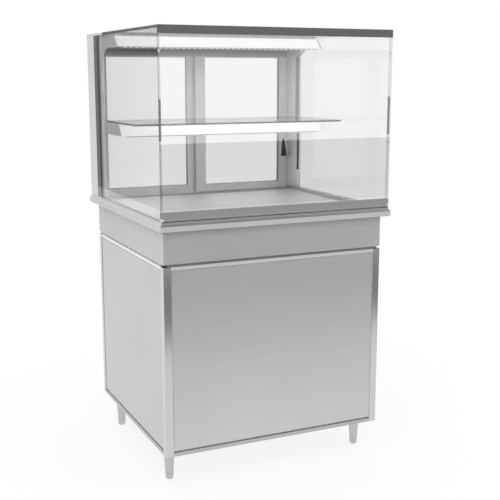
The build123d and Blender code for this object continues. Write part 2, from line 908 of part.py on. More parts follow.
def fan_motor(centre, width, radius, length, ring, depth):
    """A motor behind its fan, with the shaft and four arms out to the ring."""
    x, y, z = centre
    face = y + width / 2 + motor_gap
    motor = rod((x, face, z), (0, 1, 0), radius, length)
    shaft = rod((x, y - width / 2, z), (0, 1, 0), fan_shaft_radius, width + 2 * motor_gap)
    body = motor + shaft
    half = motor_arm_width / 2
    arm_y = (face, face + depth)
    for side in (-1, 1):
        span = sorted((side * (radius - motor_arm_bite), side * (ring + motor_arm_bite)))
        body = body + block((x + span[0], x + span[1]), arm_y, (z - half, z + half))
        body = body + block((x - half, x + half), arm_y, (z + span[0], z + span[1]))
    return body


evaporator_fan_z = liner_floor + evaporator_fan_rise
evaporator_fan_place = (0, baffle_front + evaporator_fan_setback, evaporator_fan_z)


def fan_baffle():
    """The plate across the well that holds the evaporator fan's motor."""
    x = well_x - liner_sheet
    top = deck_top - deck_sheet
    plate_y = (baffle_front, baffle_front + sheet)
    upper_x = open_x - baffle_side_gap
    upper = block((-upper_x, upper_x), plate_y, (flange_top, top))
    plate = block((-x, x), plate_y, (liner_floor, flange_top))
    plate = plate + upper
    centre = (0, baffle_front, evaporator_fan_z)
    bore = evaporator_fan_radius + fan_tip_gap
    ring = rod(centre, (0, 1, 0), bore + fan_ring_wall, fan_ring_length)
    start = (0, baffle_front - overshoot, evaporator_fan_z)
    hole = rod(start, (0, 1, 0), bore, fan_ring_length + 2 * overshoot)
    pass_half = deck_stiffener / 2 + baffle_pass_gap
    for side in (-1, 1):
        middle = side * deck_stiffener_offset
        pass_x = (middle - pass_half, middle + pass_half)
        plate = plate - block(pass_x, plate_y, (flange_top - baffle_pass_gap, top))
    motor = fan_motor(
        evaporator_fan_place,
        evaporator_fan_width,
        fan_hub_radius,
        evaporator_motor_length,
        bore,
        evaporator_motor_arm,
    )
    return plate + ring - hole + motor


def evaporator_fan():
    """The rotor that blows air through the evaporator."""
    return fan(
        evaporator_fan_place,
        evaporator_fan_radius,
        fan_hub_radius,
        evaporator_fan_width,
        evaporator_blade_chord,
    )


def drain_pipe():
    """The drain from the well's floor down into the condensate tray."""
    top = liner_floor
    bottom = floor_top + tray_height + drain_drop
    start = (drain_x, drain_y, bottom)
    bore = drain_radius - drain_wall
    pipe = rod(start, (0, 0, 1), drain_radius, top - bottom)
    return pipe - rod(start, (0, 0, 1), bore, top - bottom)


def condensate_tray():
    """The open tray under the drain."""
    x = (tray_x - tray_width / 2, tray_x + tray_width / 2)
    y = (tray_y - tray_depth / 2, tray_y + tray_depth / 2)
    outer = block(x, y, (floor_top, floor_top + tray_height))
    inner_x = (x[0] + sheet, x[1] - sheet)
    inner_y = (y[0] + sheet, y[1] - sheet)
    return outer - block(inner_x, inner_y, (floor_top + sheet, floor_top + tray_height))


compressor_bottom = floor_top + mount_height


def compressor():
    """The hermetic compressor: a domed shell on a foot plate."""
    half_x = mount_spread_x / 2 + compressor_foot_side
    half_y = mount_spread_y / 2 + compressor_foot_end
    foot_x = (compressor_x - half_x, compressor_x + half_x)
    foot_y = (compressor_y - half_y, compressor_y + half_y)
    plate = block(foot_x, foot_y, (compressor_bottom, compressor_bottom + compressor_foot))
    shell_bottom = compressor_bottom + compressor_foot
    start = (compressor_x, compressor_y, shell_bottom)
    height = compressor_body + compressor_dome
    shell = rod(start, (0, 0, 1), compressor_radius, height)
    shell = fillet(shell.edges().group_by(Axis.Z)[-1], compressor_dome)
    side = compressor_x - compressor_radius
    box_x = (side - terminal_proud, side + terminal_bite)
    box_y = (compressor_y - terminal_width / 2, compressor_y + terminal_width / 2)
    box_z = (shell_bottom + terminal_rise, shell_bottom + terminal_rise + terminal_height)
    terminal = block(box_x, box_y, box_z)
    return plate + shell + terminal


def rubber_mounts():
    """Four rubber mounts between the floor and the compressor's foot plate."""
    mounts = []
    for side_x in (-1, 1):
        for side_y in (-1, 1):
            x = compressor_x + side_x * mount_spread_x / 2
            y = compressor_y + side_y * mount_spread_y / 2
            mount = rod((x, y, floor_top), (0, 0, 1), mount_radius, mount_height)
            start = (x, y, floor_top + mount_height / 3)
            groove = rod(start, (0, 0, 1), mount_radius + overshoot, mount_height / 3)
            core = rod(start, (0, 0, 1), mount_radius - mount_groove, mount_height / 3)
            mounts.append(mount - (groove - core))
    return mounts


condenser_bottom = floor_top
condenser_back = frame_rear - condenser_rear_gap
condenser_y = (condenser_back - condenser_depth, condenser_back)
condenser_span = (condenser_x - condenser_width / 2, condenser_x + condenser_width / 2)
condenser_z = (condenser_bottom, condenser_bottom + condenser_height)
condenser_fan_place = (
    condenser_x,
    condenser_y[0] - shroud_depth / 2,
    condenser_bottom + condenser_height / 2,
)


def condenser_coil():
    """The condenser, behind the louvred door."""
    return finned_block(
        condenser_span,
        condenser_y,
        condenser_z,
        condenser_rows,
        condenser_columns,
        condenser_fin_pitch,
    )


def condenser_fan_shroud():
    """The shroud on the condenser, with the fan's motor on arms in its ring."""
    y = (condenser_y[0] - shroud_depth, condenser_y[0])
    box = block(condenser_span, y, condenser_z)
    hole_radius = condenser_fan_radius + fan_tip_gap
    x, middle, z = condenser_fan_place
    ring_y = y[0] - shroud_ring
    ring = rod((x, ring_y, z), (0, 1, 0), hole_radius + shroud_ring_wall, shroud_ring)
    length = shroud_ring + shroud_depth + 2 * overshoot
    hole = rod((x, ring_y - overshoot, z), (0, 1, 0), hole_radius, length)
    mirrored = fan_motor(
        (x, -middle, z),
        condenser_fan_width,
        motor_radius,
        motor_length,
        hole_radius,
        sheet,
    )
    return box + ring - hole + mirror(mirrored, Plane.XZ)


def condenser_fan():
    """The rotor that draws air through the condenser."""
    return fan(
        condenser_fan_place,
        condenser_fan_radius,
        condenser_hub_radius,
        condenser_fan_width,
        condenser_blade_chord,
    )


def pipe(points, radius):
    """A copper pipe along straight runs joined by bends."""
    line = FilletPolyline(*points, radius=pipe_bend)
    start = line @ 0
    section = Plane(start, z_dir=line % 0) * Circle(radius)
    return sweep(section, path=line)


def refrigerant_pipes():
    """Suction, discharge and liquid lines, the last with the filter drier.

    Each ends in line with a tube of its coil.
    """
    shell_top = compressor_bottom + compressor_foot + compressor_body
    reach = compressor_radius + pipe_end_gap
    port_z = shell_top - suction_port_drop
    suction_y = compressor_y - reach - suction_run
    suction_top = shell_top + suction_rise
    evaporator_end = -coil_width / 2 - coil_tube_end - pipe_end_gap
    sx, sy = suction_place
    suction_z = liner_floor + 1.5 * coil_row_pitch
    suction = pipe([
        (compressor_x, compressor_y - reach, port_z),
        (compressor_x, suction_y, port_z),
        (compressor_x, suction_y, suction_top),
        (sx, suction_y, suction_top),
        (sx, sy, suction_top),
        (sx, sy, suction_z),
        (evaporator_end, sy, suction_z),
    ], pipe_radius)
    condenser_end = condenser_span[0] - coil_tube_end - pipe_end_gap
    tube_y = condenser_y[0] + condenser_depth / condenser_columns / 2
    tube_pitch = condenser_height / condenser_rows
    discharge_x = compressor_x + reach + discharge_run
    discharge_z = condenser_bottom + (condenser_rows // 2 - 0.5) * tube_pitch
    discharge = pipe([
        (compressor_x + reach, compressor_y, discharge_z),
        (discharge_x, compressor_y, discharge_z),
        (discharge_x, tube_y, discharge_z),
        (condenser_end, tube_y, discharge_z),
    ], pipe_radius)
    lx, ly = liquid_place
    liquid_z = liner_floor + 2.5 * coil_row_pitch
    outlet_z = condenser_bottom + condenser_height - tube_pitch / 2
    run_x = condenser_span[0] - pipe_port_run
    liquid_top = outlet_z + drier_length + 2 * drier_margin
    liquid = pipe([
        (condenser_end, tube_y, outlet_z),
        (run_x, tube_y, outlet_z),
        (run_x, tube_y, liquid_top),
        (lx, tube_y, liquid_top),
        (lx, ly, liquid_top),
        (lx, ly, liquid_z),
        (evaporator_end, ly, liquid_z),
    ], pipe_radius)
    drier_bottom = outlet_z + drier_margin
    drier = rod((run_x, tube_y, drier_bottom), (0, 0, 1), drier_radius, drier_length)
    return [suction, discharge, liquid + drier]


control_z = (apron_bottom + counter_bottom) / 2
control_face = base_rear + control_depth
thermostat_x = control_x + thermostat_offset
rocker_places = [control_x + rocker_offset, control_x + rocker_offset + rocker_pitch]
button_places = {
    "button_up": thermostat_x + first_button,
    "button_set": thermostat_x + first_button + button_pitch,
    "button_down": thermostat_x + first_button + 2 * button_pitch,
}
display_x = thermostat_x - display_offset
rocker_axis_y = control_face - rocker_axis_inset


def control_panel():
    """The shallow box on the rear apron, with cut-outs and switch collars."""
    x = (control_x - control_width / 2, control_x + control_width / 2)
    z = (control_z - control_height / 2, control_z + control_height / 2)
    box = block(x, (base_rear, control_face), z)
    inner_x = (x[0] + sheet, x[1] - sheet)
    box = box - block(inner_x, (base_rear, control_face - sheet), (z[0] + sheet, z[1] - sheet))
    cut_x = thermostat_width / 2 - thermostat_rim
    cut_z = thermostat_height / 2 - thermostat_rim
    cut_y = (control_face - sheet - overshoot, control_face + overshoot)
    cutout_x = (thermostat_x - cut_x, thermostat_x + cut_x)
    box = box - block(cutout_x, cut_y, (control_z - cut_z, control_z + cut_z))
    reach = math.hypot(rocker_height / 2, rocker_crest) + rocker_gap
    collar_y = (control_face - rocker_collar_depth, control_face + rocker_collar_proud)
    pocket_y = (collar_y[0] - overshoot, collar_y[1] + overshoot)
    for middle in rocker_places:
        half = rocker_width / 2 + rocker_gap
        outer_x = (middle - half - rocker_collar, middle + half + rocker_collar)
        outer_z = (control_z - reach - rocker_collar, control_z + reach + rocker_collar)
        box = box + block(outer_x, collar_y, outer_z)
        pocket_z = (control_z - reach, control_z + reach)
        box = box - block((middle - half, middle + half), pocket_y, pocket_z)
        bore = rocker_trunnion_radius + running_gap
        start = (middle - half - rocker_collar, rocker_axis_y, control_z)
        box = box - rod(start, (1, 0, 0), bore, 2 * (half + rocker_collar))
    return box


def thermostat():
    """The electronic thermostat: bezel, body, a sunk display and three button bores."""
    half_x = thermostat_width / 2
    half_z = thermostat_height / 2
    bezel_x = (thermostat_x - half_x, thermostat_x + half_x)
    bezel_y = (control_face, control_face + thermostat_bezel)
    bezel = block(bezel_x, bezel_y, (control_z - half_z, control_z + half_z))
    body_x = (bezel_x[0] + thermostat_rim, bezel_x[1] - thermostat_rim)
    body_y = (control_face - thermostat_body, control_face)
    body_z = half_z - thermostat_rim
    unit = bezel + block(body_x, body_y, (control_z - body_z, control_z + body_z))
    window_x = (display_x - display_width / 2, display_x + display_width / 2)
    window_z = (control_z - display_height / 2, control_z + display_height / 2)
    window_y = (bezel_y[1] - display_recess, bezel_y[1] + overshoot)
    unit = unit - block(window_x, window_y, window_z)
    depth = button_length - button_proud + button_travel
    for middle in button_places.values():
        start = (middle, bezel_y[1] - depth, control_z)
        unit = unit - rod(start, (0, 1, 0), button_radius + running_gap, depth + overshoot)
    return unit


def button(middle):
    """A push-button that stands proud of the thermostat's bezel."""
    top = control_face + thermostat_bezel + button_proud
    cap = rod((middle, top - button_length, control_z), (0, 1, 0), button_radius, button_length)
    return fillet(cap.edges().group_by(Axis.Y)[-1], button_round)


def rocker(middle):
    """A rocker switch on its two trunnions, tilted to its lower stop."""
    half = rocker_height / 2
    outline = [
        (rocker_crest, -half),
        (rocker_dip, 0),
        (rocker_crest, half),
        (rocker_shoulder, half),
        (-rocker_root, half / 2),
        (-rocker_root, -half / 2),
        (rocker_shoulder, -half),
    ]
    paddle = prism_x(outline, (-rocker_width / 2, rocker_width / 2))
    trunnion = rocker_width / 2 + rocker_gap + rocker_collar
    paddle = paddle + rod((-trunnion, 0, 0), (1, 0, 0), rocker_trunnion_radius, 2 * trunnion)
    return Pos(middle, rocker_axis_y, control_z) * Rot(X=-rocker_tilt) * paddle


def rear_posts():
    """Two rear posts with an inner lip that the side glass is bonded to."""
    posts = []
    for side in (-1, 1):
        z = (case_bottom, pane_top)
        whole_x = sorted((side * post_inner_x, side * glass_x))
        lip_x = sorted((side * post_inner_x, side * (glass_x - pane)))
        body = block(whole_x, (post_front, post_rear), z)
        lip = block(lip_x, (lip_front, post_front), z)
        core_x = sorted((side * (post_inner_x + post_wall), side * (glass_x - post_wall)))
        core = block(core_x, (post_front + post_wall, post_rear - post_wall), z)
        posts.append(body + lip - core)
    return posts


def rear_top_cover():
    """The metal cover behind the roof glass, across both posts."""
    return block((-glass_x, glass_x), (cover_front, post_rear), (pane_top, case_top))


canopy_bottom = case_top - canopy_drop
canopy_front_y = side_pane_front + canopy_front
door_front = post_front + door_front_offset
track_front = door_front - track_side_gap - track_wall


def canopy_housing():
    """The lamp and air housing under the roof, with its two curved end gussets."""
    shoulder = canopy_bottom + canopy_height
    section = (canopy_front_y, track_front, (canopy_bottom, shoulder), canopy_slope)
    outline = sloped_section(*section, 0)
    body = prism_x(outline, (-post_inner_x, post_inner_x))
    hollow_x = (-post_inner_x + canopy_sheet, post_inner_x - canopy_sheet)
    body = body - prism_x(sloped_section(*section, canopy_sheet), hollow_x)
    rise_y = (cover_front + canopy_rise_gap, track_front)
    body = body + block((-post_inner_x, post_inner_x), rise_y, (shoulder, pane_top))
    slot_x = (-post_inner_x + canopy_slot_side, post_inner_x - canopy_slot_side)
    slot_start = canopy_front_y + canopy_slot_front
    slot_z = (canopy_bottom - overshoot, canopy_bottom + canopy_sheet + overshoot)
    body = body - block(slot_x, (slot_start, slot_start + canopy_slot_depth), slot_z)
    pieces = [body]
    tail = [(lip_front, shoulder), (lip_front, canopy_bottom)]
    for side in (-1, 1):
        outer_x = glass_x - pane - canopy_air_gap
        span = sorted((side * post_inner_x, side * outer_x))
        pieces.append(prism_x(outline[:2] + tail, span) + gusset(span))
    return pieces


def gusset(span):
    """The curved tail of the canopy's end plate, down the front of the post."""
    tail_y = (lip_front - gusset_depth, lip_front)
    tail = block(span, tail_y, (canopy_bottom - gusset_drop, canopy_bottom))
    bow = (gusset_depth ** 2 + gusset_drop ** 2) / (2 * gusset_drop)
    start = (span[0] - overshoot, tail_y[0], canopy_bottom - bow)
    return tail - rod(start, (1, 0, 0), bow, span[1] - span[0] + 2 * overshoot)


shelf_top = case_bottom + shelf_level
shelf_bottom = shelf_top - shelf_pane
beam_bottom = shelf_bottom - shelf_beam_height
beam_front_y = side_pane_front + shelf_beam_front
shelf_x = post_inner_x - shelf_side_gap
beam_x = post_inner_x - shelf_bracket


def shelf_glass():
    """The glass shelf, on the beam and its end brackets."""
    front = side_pane_front + shelf_front
    return block((-shelf_x, shelf_x), (front, lip_front), (shelf_bottom, shelf_top))


def shelf_housing():
    """The lamp beam under the shelf, with a sloped front."""
    section = (beam_front_y, lip_front, (beam_bottom, shelf_bottom), shelf_beam_slope)
    beam = prism_x(sloped_section(*section, 0), (-beam_x, beam_x))
    return beam - prism_x(sloped_section(*section, shelf_beam_wall), (-beam_x, beam_x))


def shelf_brackets():
    """End plates of the beam, each with a tail along the inside of its post."""
    brackets = []
    for side in (-1, 1):
        span = sorted((side * beam_x, side * post_inner_x))
        outline = [
            (beam_front_y, beam_bottom),
            (beam_front_y + shelf_beam_slope, shelf_bottom),
            (lip_front + shelf_bracket_tail, shelf_bottom),
            (lip_front + shelf_bracket_tail, beam_bottom),
        ]
        brackets.append(prism_x(outline, span))
    return brackets


def lamp_strip(half_x, y, top):
    """A lamp strip under a flat face, with a row of round lenses."""
    bar = block((-half_x, half_x), (y, y + lamp_width), (top - lamp_thickness, top))
    count = int((2 * half_x - lamp_pitch) / lamp_pitch) + 1
    first = -(count - 1) * lamp_pitch / 2
    lenses = []
    for index in range(count):
        start = (first + index * lamp_pitch, y + lamp_width / 2, top - lamp_thickness)
        place = Plane(start, z_dir=(0, 0, -1))
        lenses.append(Solid.make_cone(lens_radius, lens_tip_radius, lens_drop, place))
    return bar + lenses


def led_strips():
    """Lamp strips under the canopy and under the shelf beam."""
    canopy_y = canopy_front_y + lamp_setback
    beam_y = beam_front_y + lamp_setback
    return [
        lamp_strip(post_inner_x - lamp_end_gap, canopy_y, canopy_bottom),
        lamp_strip(beam_x - lamp_end_gap, beam_y, beam_bottom),
    ]


inner_door_y = (door_front, door_front + door_thickness)
outer_door_front = inner_door_y[1] + door_pass_gap
outer_door_y = (outer_door_front, outer_door_front + door_thickness)
sill_top = slab_top + sill_plate
door_z = (sill_top + door_lift, canopy_bottom + track_engage)
door_outer_x = post_inner_x - door_side_gap


def door_tracks():
    """The sill with its two guide ribs, and the grooved track above the doors."""
    across = (-post_inner_x, post_inner_x)
    sill = block(across, (open_rear, post_rear), (slab_top, sill_top))
    ribs = []
    grooves = []
    for y in (inner_door_y, outer_door_y):
        middle = (y[0] + y[1]) / 2
        rib_y = (middle - rib_width / 2, middle + rib_width / 2)
        ribs.append(block(across, rib_y, (sill_top, sill_top + rib_height)))
        groove_y = (y[0] - track_side_gap, y[1] + track_side_gap)
        grooves.append(block(across, groove_y, (canopy_bottom, door_z[1] + track_top_gap)))
    back = outer_door_y[1] + track_side_gap + track_wall
    head = block(across, (track_front, back), (canopy_bottom, pane_top))
    return [sill + ribs, head - grooves]


def door_frame(x, y):
    """Stiles and rails of one sliding door, grooved for the glass and the guide rib."""
    glass = door_pane(x, y)
    z = door_z
    inner_x = (x[0] + door_stile, x[1] - door_stile)
    members = [
        block((x[0], inner_x[0]), y, z),
        block((inner_x[1], x[1]), y, z),
        block(inner_x, y, (z[1] - door_top_rail, z[1])),
        block(inner_x, y, (z[0], z[0] + door_bottom_rail)),
    ]
    middle = (y[0] + y[1]) / 2
    half = rib_width / 2 + rib_side_gap
    groove_top = sill_top + rib_height + rib_top_gap
    groove = block(x, (middle - half, middle + half), (z[0], groove_top))
    return [member - glass - groove for member in members]


def door_pane(x, y):
    """The glass of one sliding door, let into its frame."""
    middle = (y[0] + y[1]) / 2
    pane_x = (x[0] + door_stile - door_glass_bite, x[1] - door_stile + door_glass_bite)
    pane_y = (middle - door_glass / 2, middle + door_glass / 2)
    pane_bottom = door_z[0] + door_bottom_rail - door_glass_bite
    pane_top_edge = door_z[1] - door_top_rail + door_glass_bite
    return block(pane_x, pane_y, (pane_bottom, pane_top_edge))


def block_about(middle, half_x, y, z_middle, half_z):
    """A block centred on a point of X and Z, between two Y faces."""
    x = (middle - half_x, middle + half_x)
    return block(x, y, (z_middle - half_z, z_middle + half_z))


def door_pull(middle, y_face):
    """A finger pull let into the back of a stile, and the pocket that it needs."""
    z = (door_z[0] + door_z[1]) / 2
    half_x = pull_width / 2
    half_z = pull_height / 2
    flange = block_about(middle, half_x, (y_face, y_face + pull_flange), z, half_z)
    cup_x = half_x - pull_rim
    cup_z = half_z - pull_rim
    cup = block_about(middle, cup_x, (y_face - pull_depth, y_face), z, cup_z)
    hollow_y = (y_face - pull_depth + pull_wall, y_face + pull_flange)
    hollow = block_about(middle, cup_x - pull_wall, hollow_y, z, cup_z - pull_wall)
    return flange + cup - hollow, cup


left_door_x = (-door_outer_x, door_overlap / 2)
right_door_x = (-door_overlap / 2, door_outer_x)
pull_middle = door_outer_x - door_stile / 2


def sliding_door(side, x, y):
    """Saves one sliding door: its frame, glass and finger pull."""
    pull, pocket = door_pull(-pull_middle if side == "left" else pull_middle, y[1])
    save(f"{side}_door_frame", *[member - pocket for member in door_frame(x, y)])
    save(f"{side}_door_glass", door_pane(x, y))
    save(f"{side}_door_pull", pull)


def side_glasses():
    """The two side panes, on the plinth and along the posts."""
    panes = []
    for side in (-1, 1):
        x = sorted((side * (glass_x - pane), side * glass_x))
        panes.append(block(x, (side_pane_front, post_front), (case_bottom, pane_top)))
    return panes


def top_glass():
    """The roof pane, on the side panes and up to the rear cover."""
    return block((-glass_x, glass_x), (side_pane_front, cover_front), (pane_top, case_top))


profile_y = (glass_front, glass_front + front_profile)
front_axis_y = glass_front + front_profile / 2
front_axis_z = case_bottom + front_hinge_gap + front_profile / 2
hinge_clear = front_profile / 2 + band_hinge_gap


def front_glass():
    """The front pane, held in the profiles at its foot and its head."""
    y = (front_axis_y - front_pane / 2, front_axis_y + front_pane / 2)
    z = (front_axis_z + hinge_clear + front_glass_seat, case_top - front_glass_edge)
    return block((-glass_x, glass_x), y, z)


def front_glass_profiles():
    """The grip profile on the head of the front glass and the hinge profile at its foot."""
    glass = front_glass()
    head = block((-glass_x, glass_x), profile_y, (case_top - top_band, case_top)) - glass
    upper_z = (front_axis_z + hinge_clear, case_bottom + bottom_band)
    upper = block((-glass_x, glass_x), profile_y, upper_z)
    lower_x = glass_x - front_hinge_block - front_hinge_end_gap
    lower = block((-lower_x, lower_x), profile_y, (front_axis_z, front_axis_z + hinge_clear))
    start = (-lower_x, front_axis_y, front_axis_z)
    round_foot = rod(start, (1, 0, 0), front_profile / 2, 2 * lower_x)
    foot_profile = upper + lower + round_foot - glass
    bore = front_pin_radius + running_gap
    depth = front_pin_length + front_pin_end_gap - front_hinge_end_gap + overshoot
    for side in (-1, 1):
        start = (side * (lower_x + overshoot), front_axis_y, front_axis_z)
        foot_profile = foot_profile - rod(start, (-side, 0, 0), bore, depth)
    return [head, foot_profile]


def front_hinge_blocks():
    """Blocks on the counter's front corners, each with the pin of the front glass."""
    blocks = []
    for side in (-1, 1):
        inner = glass_x - front_hinge_block
        span = sorted((side * inner, side * glass_x))
        base = block(span, profile_y, (case_bottom, front_axis_z))
        start = (span[0], front_axis_y, front_axis_z)
        head = rod(start, (1, 0, 0), front_profile / 2, front_hinge_block)
        start = (side * inner, front_axis_y, front_axis_z)
        pin = rod(start, (-side, 0, 0), front_pin_radius, front_pin_length)
        blocks.append(base + head + pin)
    return blocks


def screw(place, axis):
    """A round-headed screw with its head on a face."""
    head = rod(place, axis, screw_head_radius, screw_head)
    rim = head.edges().filter_by(GeomType.CIRCLE).sort_by(Axis(place, axis))[-1]
    return head.fillet(screw_round, [rim])


def screws():
    """Screws of the rear panel and of the control box."""
    group = []
    panel_middle = rail_bottom - rear_panel_height / 2
    for side_x in (-1, 1):
        for side_z in (-1, 1):
            x = side_x * (frame_x - panel_screw_edge)
            z = panel_middle + side_z * (rear_panel_height / 2 - panel_screw_edge)
            group.append(screw((x, rear_face, z), (0, 1, 0)))
            x = control_x + side_x * (control_width / 2 - screw_edge)
            z = control_z + side_z * (control_height / 2 - screw_edge)
            group.append(screw((x, control_face, z), (0, 1, 0)))
    return group


os.makedirs("parts", exist_ok=True)
save("corner_posts", *corner_posts())
save("top_frame", *rails((rail_bottom, base_top)), *spacer_bars())
save("bottom_frame", *rails((leg_height, rail_top)))
save("front_panel", front_panel())
save("side_panels", *side_panels())
save("rear_panel", rear_panel())
save("cable_gland", cable_gland())
save("service_door", service_door())
save("service_door_hinges", *service_door_hinges())
save("service_door_latch", service_door_latch())
save("base_floor", base_floor())
save("leg_bodies", *leg_bodies())
for corner, place in leg_places.items():
    save(f"foot_{corner}", foot(*place))
save("apron", *apron())
save("countertop", *countertop())
save("well_insulation", *well_insulation())
save("well_liner", well_liner())
save("display_deck", display_deck())
save("air_grilles", *air_grilles())
save("evaporator_coil", evaporator_coil())
save("fan_baffle", fan_baffle())
save("evaporator_fan", evaporator_fan())
save("drain_pipe", drain_pipe())
save("condensate_tray", condensate_tray())
save("compressor", compressor())
save("rubber_mounts", *rubber_mounts())
save("condenser_coil", condenser_coil())
save("condenser_fan_shroud", condenser_fan_shroud())
save("condenser_fan", condenser_fan())
save("refrigerant_pipes", *refrigerant_pipes())
save("control_panel", control_panel())
save("thermostat", thermostat())
for name, middle in button_places.items():
    save(name, button(middle))
save("power_switch", rocker(rocker_places[0]))
save("light_switch", rocker(rocker_places[1]))
save("rear_posts", *rear_posts())
save("rear_top_cover", rear_top_cover())
save("canopy_housing", *canopy_housing())
save("led_strips", *led_strips())
save("shelf_glass", shelf_glass())
save("shelf_housing", shelf_housing())
save("shelf_brackets", *shelf_brackets())
save("door_tracks", *door_tracks())
sliding_door("left", left_door_x, outer_door_y)
sliding_door("right", right_door_x, inner_door_y)
save("side_glasses", *side_glasses())
save("top_glass", top_glass())
save("front_glass", front_glass())
save("front_glass_profiles", *front_glass_profiles())
save("front_hinge_blocks", *front_hinge_blocks())
save("screws", *screws())
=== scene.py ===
import json
import math

import bmesh
import bpy
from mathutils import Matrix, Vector

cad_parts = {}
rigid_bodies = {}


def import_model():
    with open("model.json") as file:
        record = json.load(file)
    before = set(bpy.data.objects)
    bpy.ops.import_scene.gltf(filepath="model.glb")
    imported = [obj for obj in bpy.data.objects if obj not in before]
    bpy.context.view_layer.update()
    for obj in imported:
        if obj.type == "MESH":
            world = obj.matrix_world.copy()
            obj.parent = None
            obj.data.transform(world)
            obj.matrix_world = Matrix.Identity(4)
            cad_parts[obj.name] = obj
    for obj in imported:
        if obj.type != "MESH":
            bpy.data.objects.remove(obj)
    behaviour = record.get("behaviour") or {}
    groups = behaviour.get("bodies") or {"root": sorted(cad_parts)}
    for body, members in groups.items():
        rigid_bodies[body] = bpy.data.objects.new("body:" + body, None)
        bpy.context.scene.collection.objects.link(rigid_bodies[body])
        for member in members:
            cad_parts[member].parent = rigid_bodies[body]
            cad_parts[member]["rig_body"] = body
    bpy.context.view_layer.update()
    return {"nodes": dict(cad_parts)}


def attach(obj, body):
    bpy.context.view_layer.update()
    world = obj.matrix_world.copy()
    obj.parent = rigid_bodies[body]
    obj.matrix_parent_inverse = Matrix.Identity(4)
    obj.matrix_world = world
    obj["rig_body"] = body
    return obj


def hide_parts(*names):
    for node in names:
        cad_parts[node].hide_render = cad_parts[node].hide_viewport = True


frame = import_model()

# The cupboard's frame: square stainless tube, welded at the corners and ground flush.
# The posts have a rounded outer corner, and a satin finish brushed along each tube.
# The top frame takes a lighter copy of the steel, a painted highlight, and the bottom
# frame a darker copy, painted shade.
# Steel strips are spot welded to the frame behind the edges of the panels.

MM = 0.001
SHARP = math.radians(28)
NOISE_LOW, NOISE_HIGH = 0.3, 0.7


def wired(owner, node, **sockets):
    """Sets a node's sockets to values, or joins them to the outputs given for them."""
    for socket, value in sockets.items():
        target = node.inputs[socket.replace("_", " ")]
        if isinstance(value, bpy.types.NodeSocket):
            owner.node_tree.links.new(value, target)
        else:
            target.default_value = value
    return node


def added(owner, kind, **sockets):
    """A new node of a material or a world, with its sockets set or joined."""
    return wired(owner, owner.node_tree.nodes.new("ShaderNode" + kind), **sockets)


def shaded(material, **sockets):
    """Sets or joins the sockets of a material's Principled shader."""
    wired(material, material.node_tree.nodes["Principled BSDF"], **sockets)


def grey(level):
    """A neutral grey."""
    return (level, level, level)


def finish(name, colour, metallic, roughness):
    """A new node material of one colour."""
    material = bpy.data.materials.new(name)
    material.use_nodes = True
    shaded(material, Base_Color=(*colour, 1), Metallic=metallic, Roughness=roughness)
    return material


def noise_along(material, stretch, detail=4.0):
    """Noise over the object in metres, drawn out along the axis whose stretch is least.

    A stretch of one number is the same along every axis.
    """
    if isinstance(stretch, float):
        stretch = (stretch, stretch, stretch)
    place = added(material, "TexCoord").outputs["Object"]
    scaled = added(material, "Mapping", Vector=place, Scale=stretch).outputs["Vector"]
    return added(material, "TexNoise", Vector=scaled, Scale=1.0, Detail=detail).outputs["Fac"]


def between(material, factor, low, high):
    """Maps a noise's middle range onto values from low to high."""
    return added(material, "MapRange", Value=factor, From_Min=NOISE_LOW, From_Max=NOISE_HIGH,
                 To_Min=low, To_Max=high).outputs["Result"]


def shade(material, factor, dark, light):
    """Maps a noise's middle range onto colours from dark to light."""
    ramp = added(material, "ValToRGB", Fac=factor)
    stops = ramp.color_ramp.elements
    for stop, position, colour in zip(stops, (NOISE_LOW, NOISE_HIGH), (dark, light)):
        stop.position = position
        stop.color = (*colour, 1)
    return ramp.outputs["Color"]


def relief(material, factor, strength, height):
    """Raises the surface by a noise, to a height in metres."""
    bump = added(material, "Bump", Height=factor, Strength=strength, Distance=height)
    shaded(material, Normal=bump.outputs["Normal"])


def varied(material, colour, factor, contrast):
    """Makes a finish darker and lighter than its colour by a noise."""
    dark, light = (tuple(min(1.0, part * share) for part in colour)
                   for share in (1 - contrast, 1 + contrast))
    shaded(material, Base_Color=shade(material, factor, dark, light))


ALONG_X = (2.0, 900.0, 900.0)
ALONG_Y = (900.0, 2.0, 900.0)
ALONG_Z = (900.0, 900.0, 2.0)


def brushed(name, colour, roughness, grain, contrast=0.05, metallic=1.0):
    """Satin metal: a fine grain, with broad faint clouds left by wiping."""
    material = finish(name, colour, metallic, roughness)
    fine = noise_along(material, grain, 2.0)
    varied(material, colour, fine, contrast)
    clouds = noise_along(material, 3.0)
    shaded(material, Roughness=between(material, clouds, roughness - 0.03, roughness + 0.04))
    relief(material, fine, 0.08, 0.00005)
    return material


def shown(name, data):
    """Puts a mesh, curve, lamp or camera in the scene."""
    piece = bpy.data.objects.new(name, data)
    bpy.context.scene.collection.objects.link(piece)
    return piece


def placed(name, mesh, body, slot, material, *replaced):
    """Puts a mesh or curve in the scene as a piece of a body, with its finish."""
    piece = shown(name, mesh)
    mesh.materials.clear()
    mesh.materials.append(material)
    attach(piece, body)
    if replaced:
        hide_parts(*replaced)
    return piece


def bevelled(piece, radius, steps=2):
    """Rounds the hard edges of a piece by a radius in millimetres."""
    edge = piece.modifiers.new("edges", "BEVEL")
    edge.width = radius * MM
    edge.segments = steps
    edge.limit_method = "ANGLE"
    edge.angle_limit = SHARP
    edge.harden_normals = True
    return piece


def smoothed(mesh):
    """Shades a mesh smooth, but for its hard edges."""
    for face in mesh.polygons:
        face.use_smooth = True
    mesh.set_sharp_from_angle(angle=SHARP)
    return mesh


def mitre(face):
    """Whether a face is an upright joint at 45 degrees."""
    return abs(face.normal.z) < 0.01 and abs(abs(face.normal.x) - abs(face.normal.y)) < 0.02


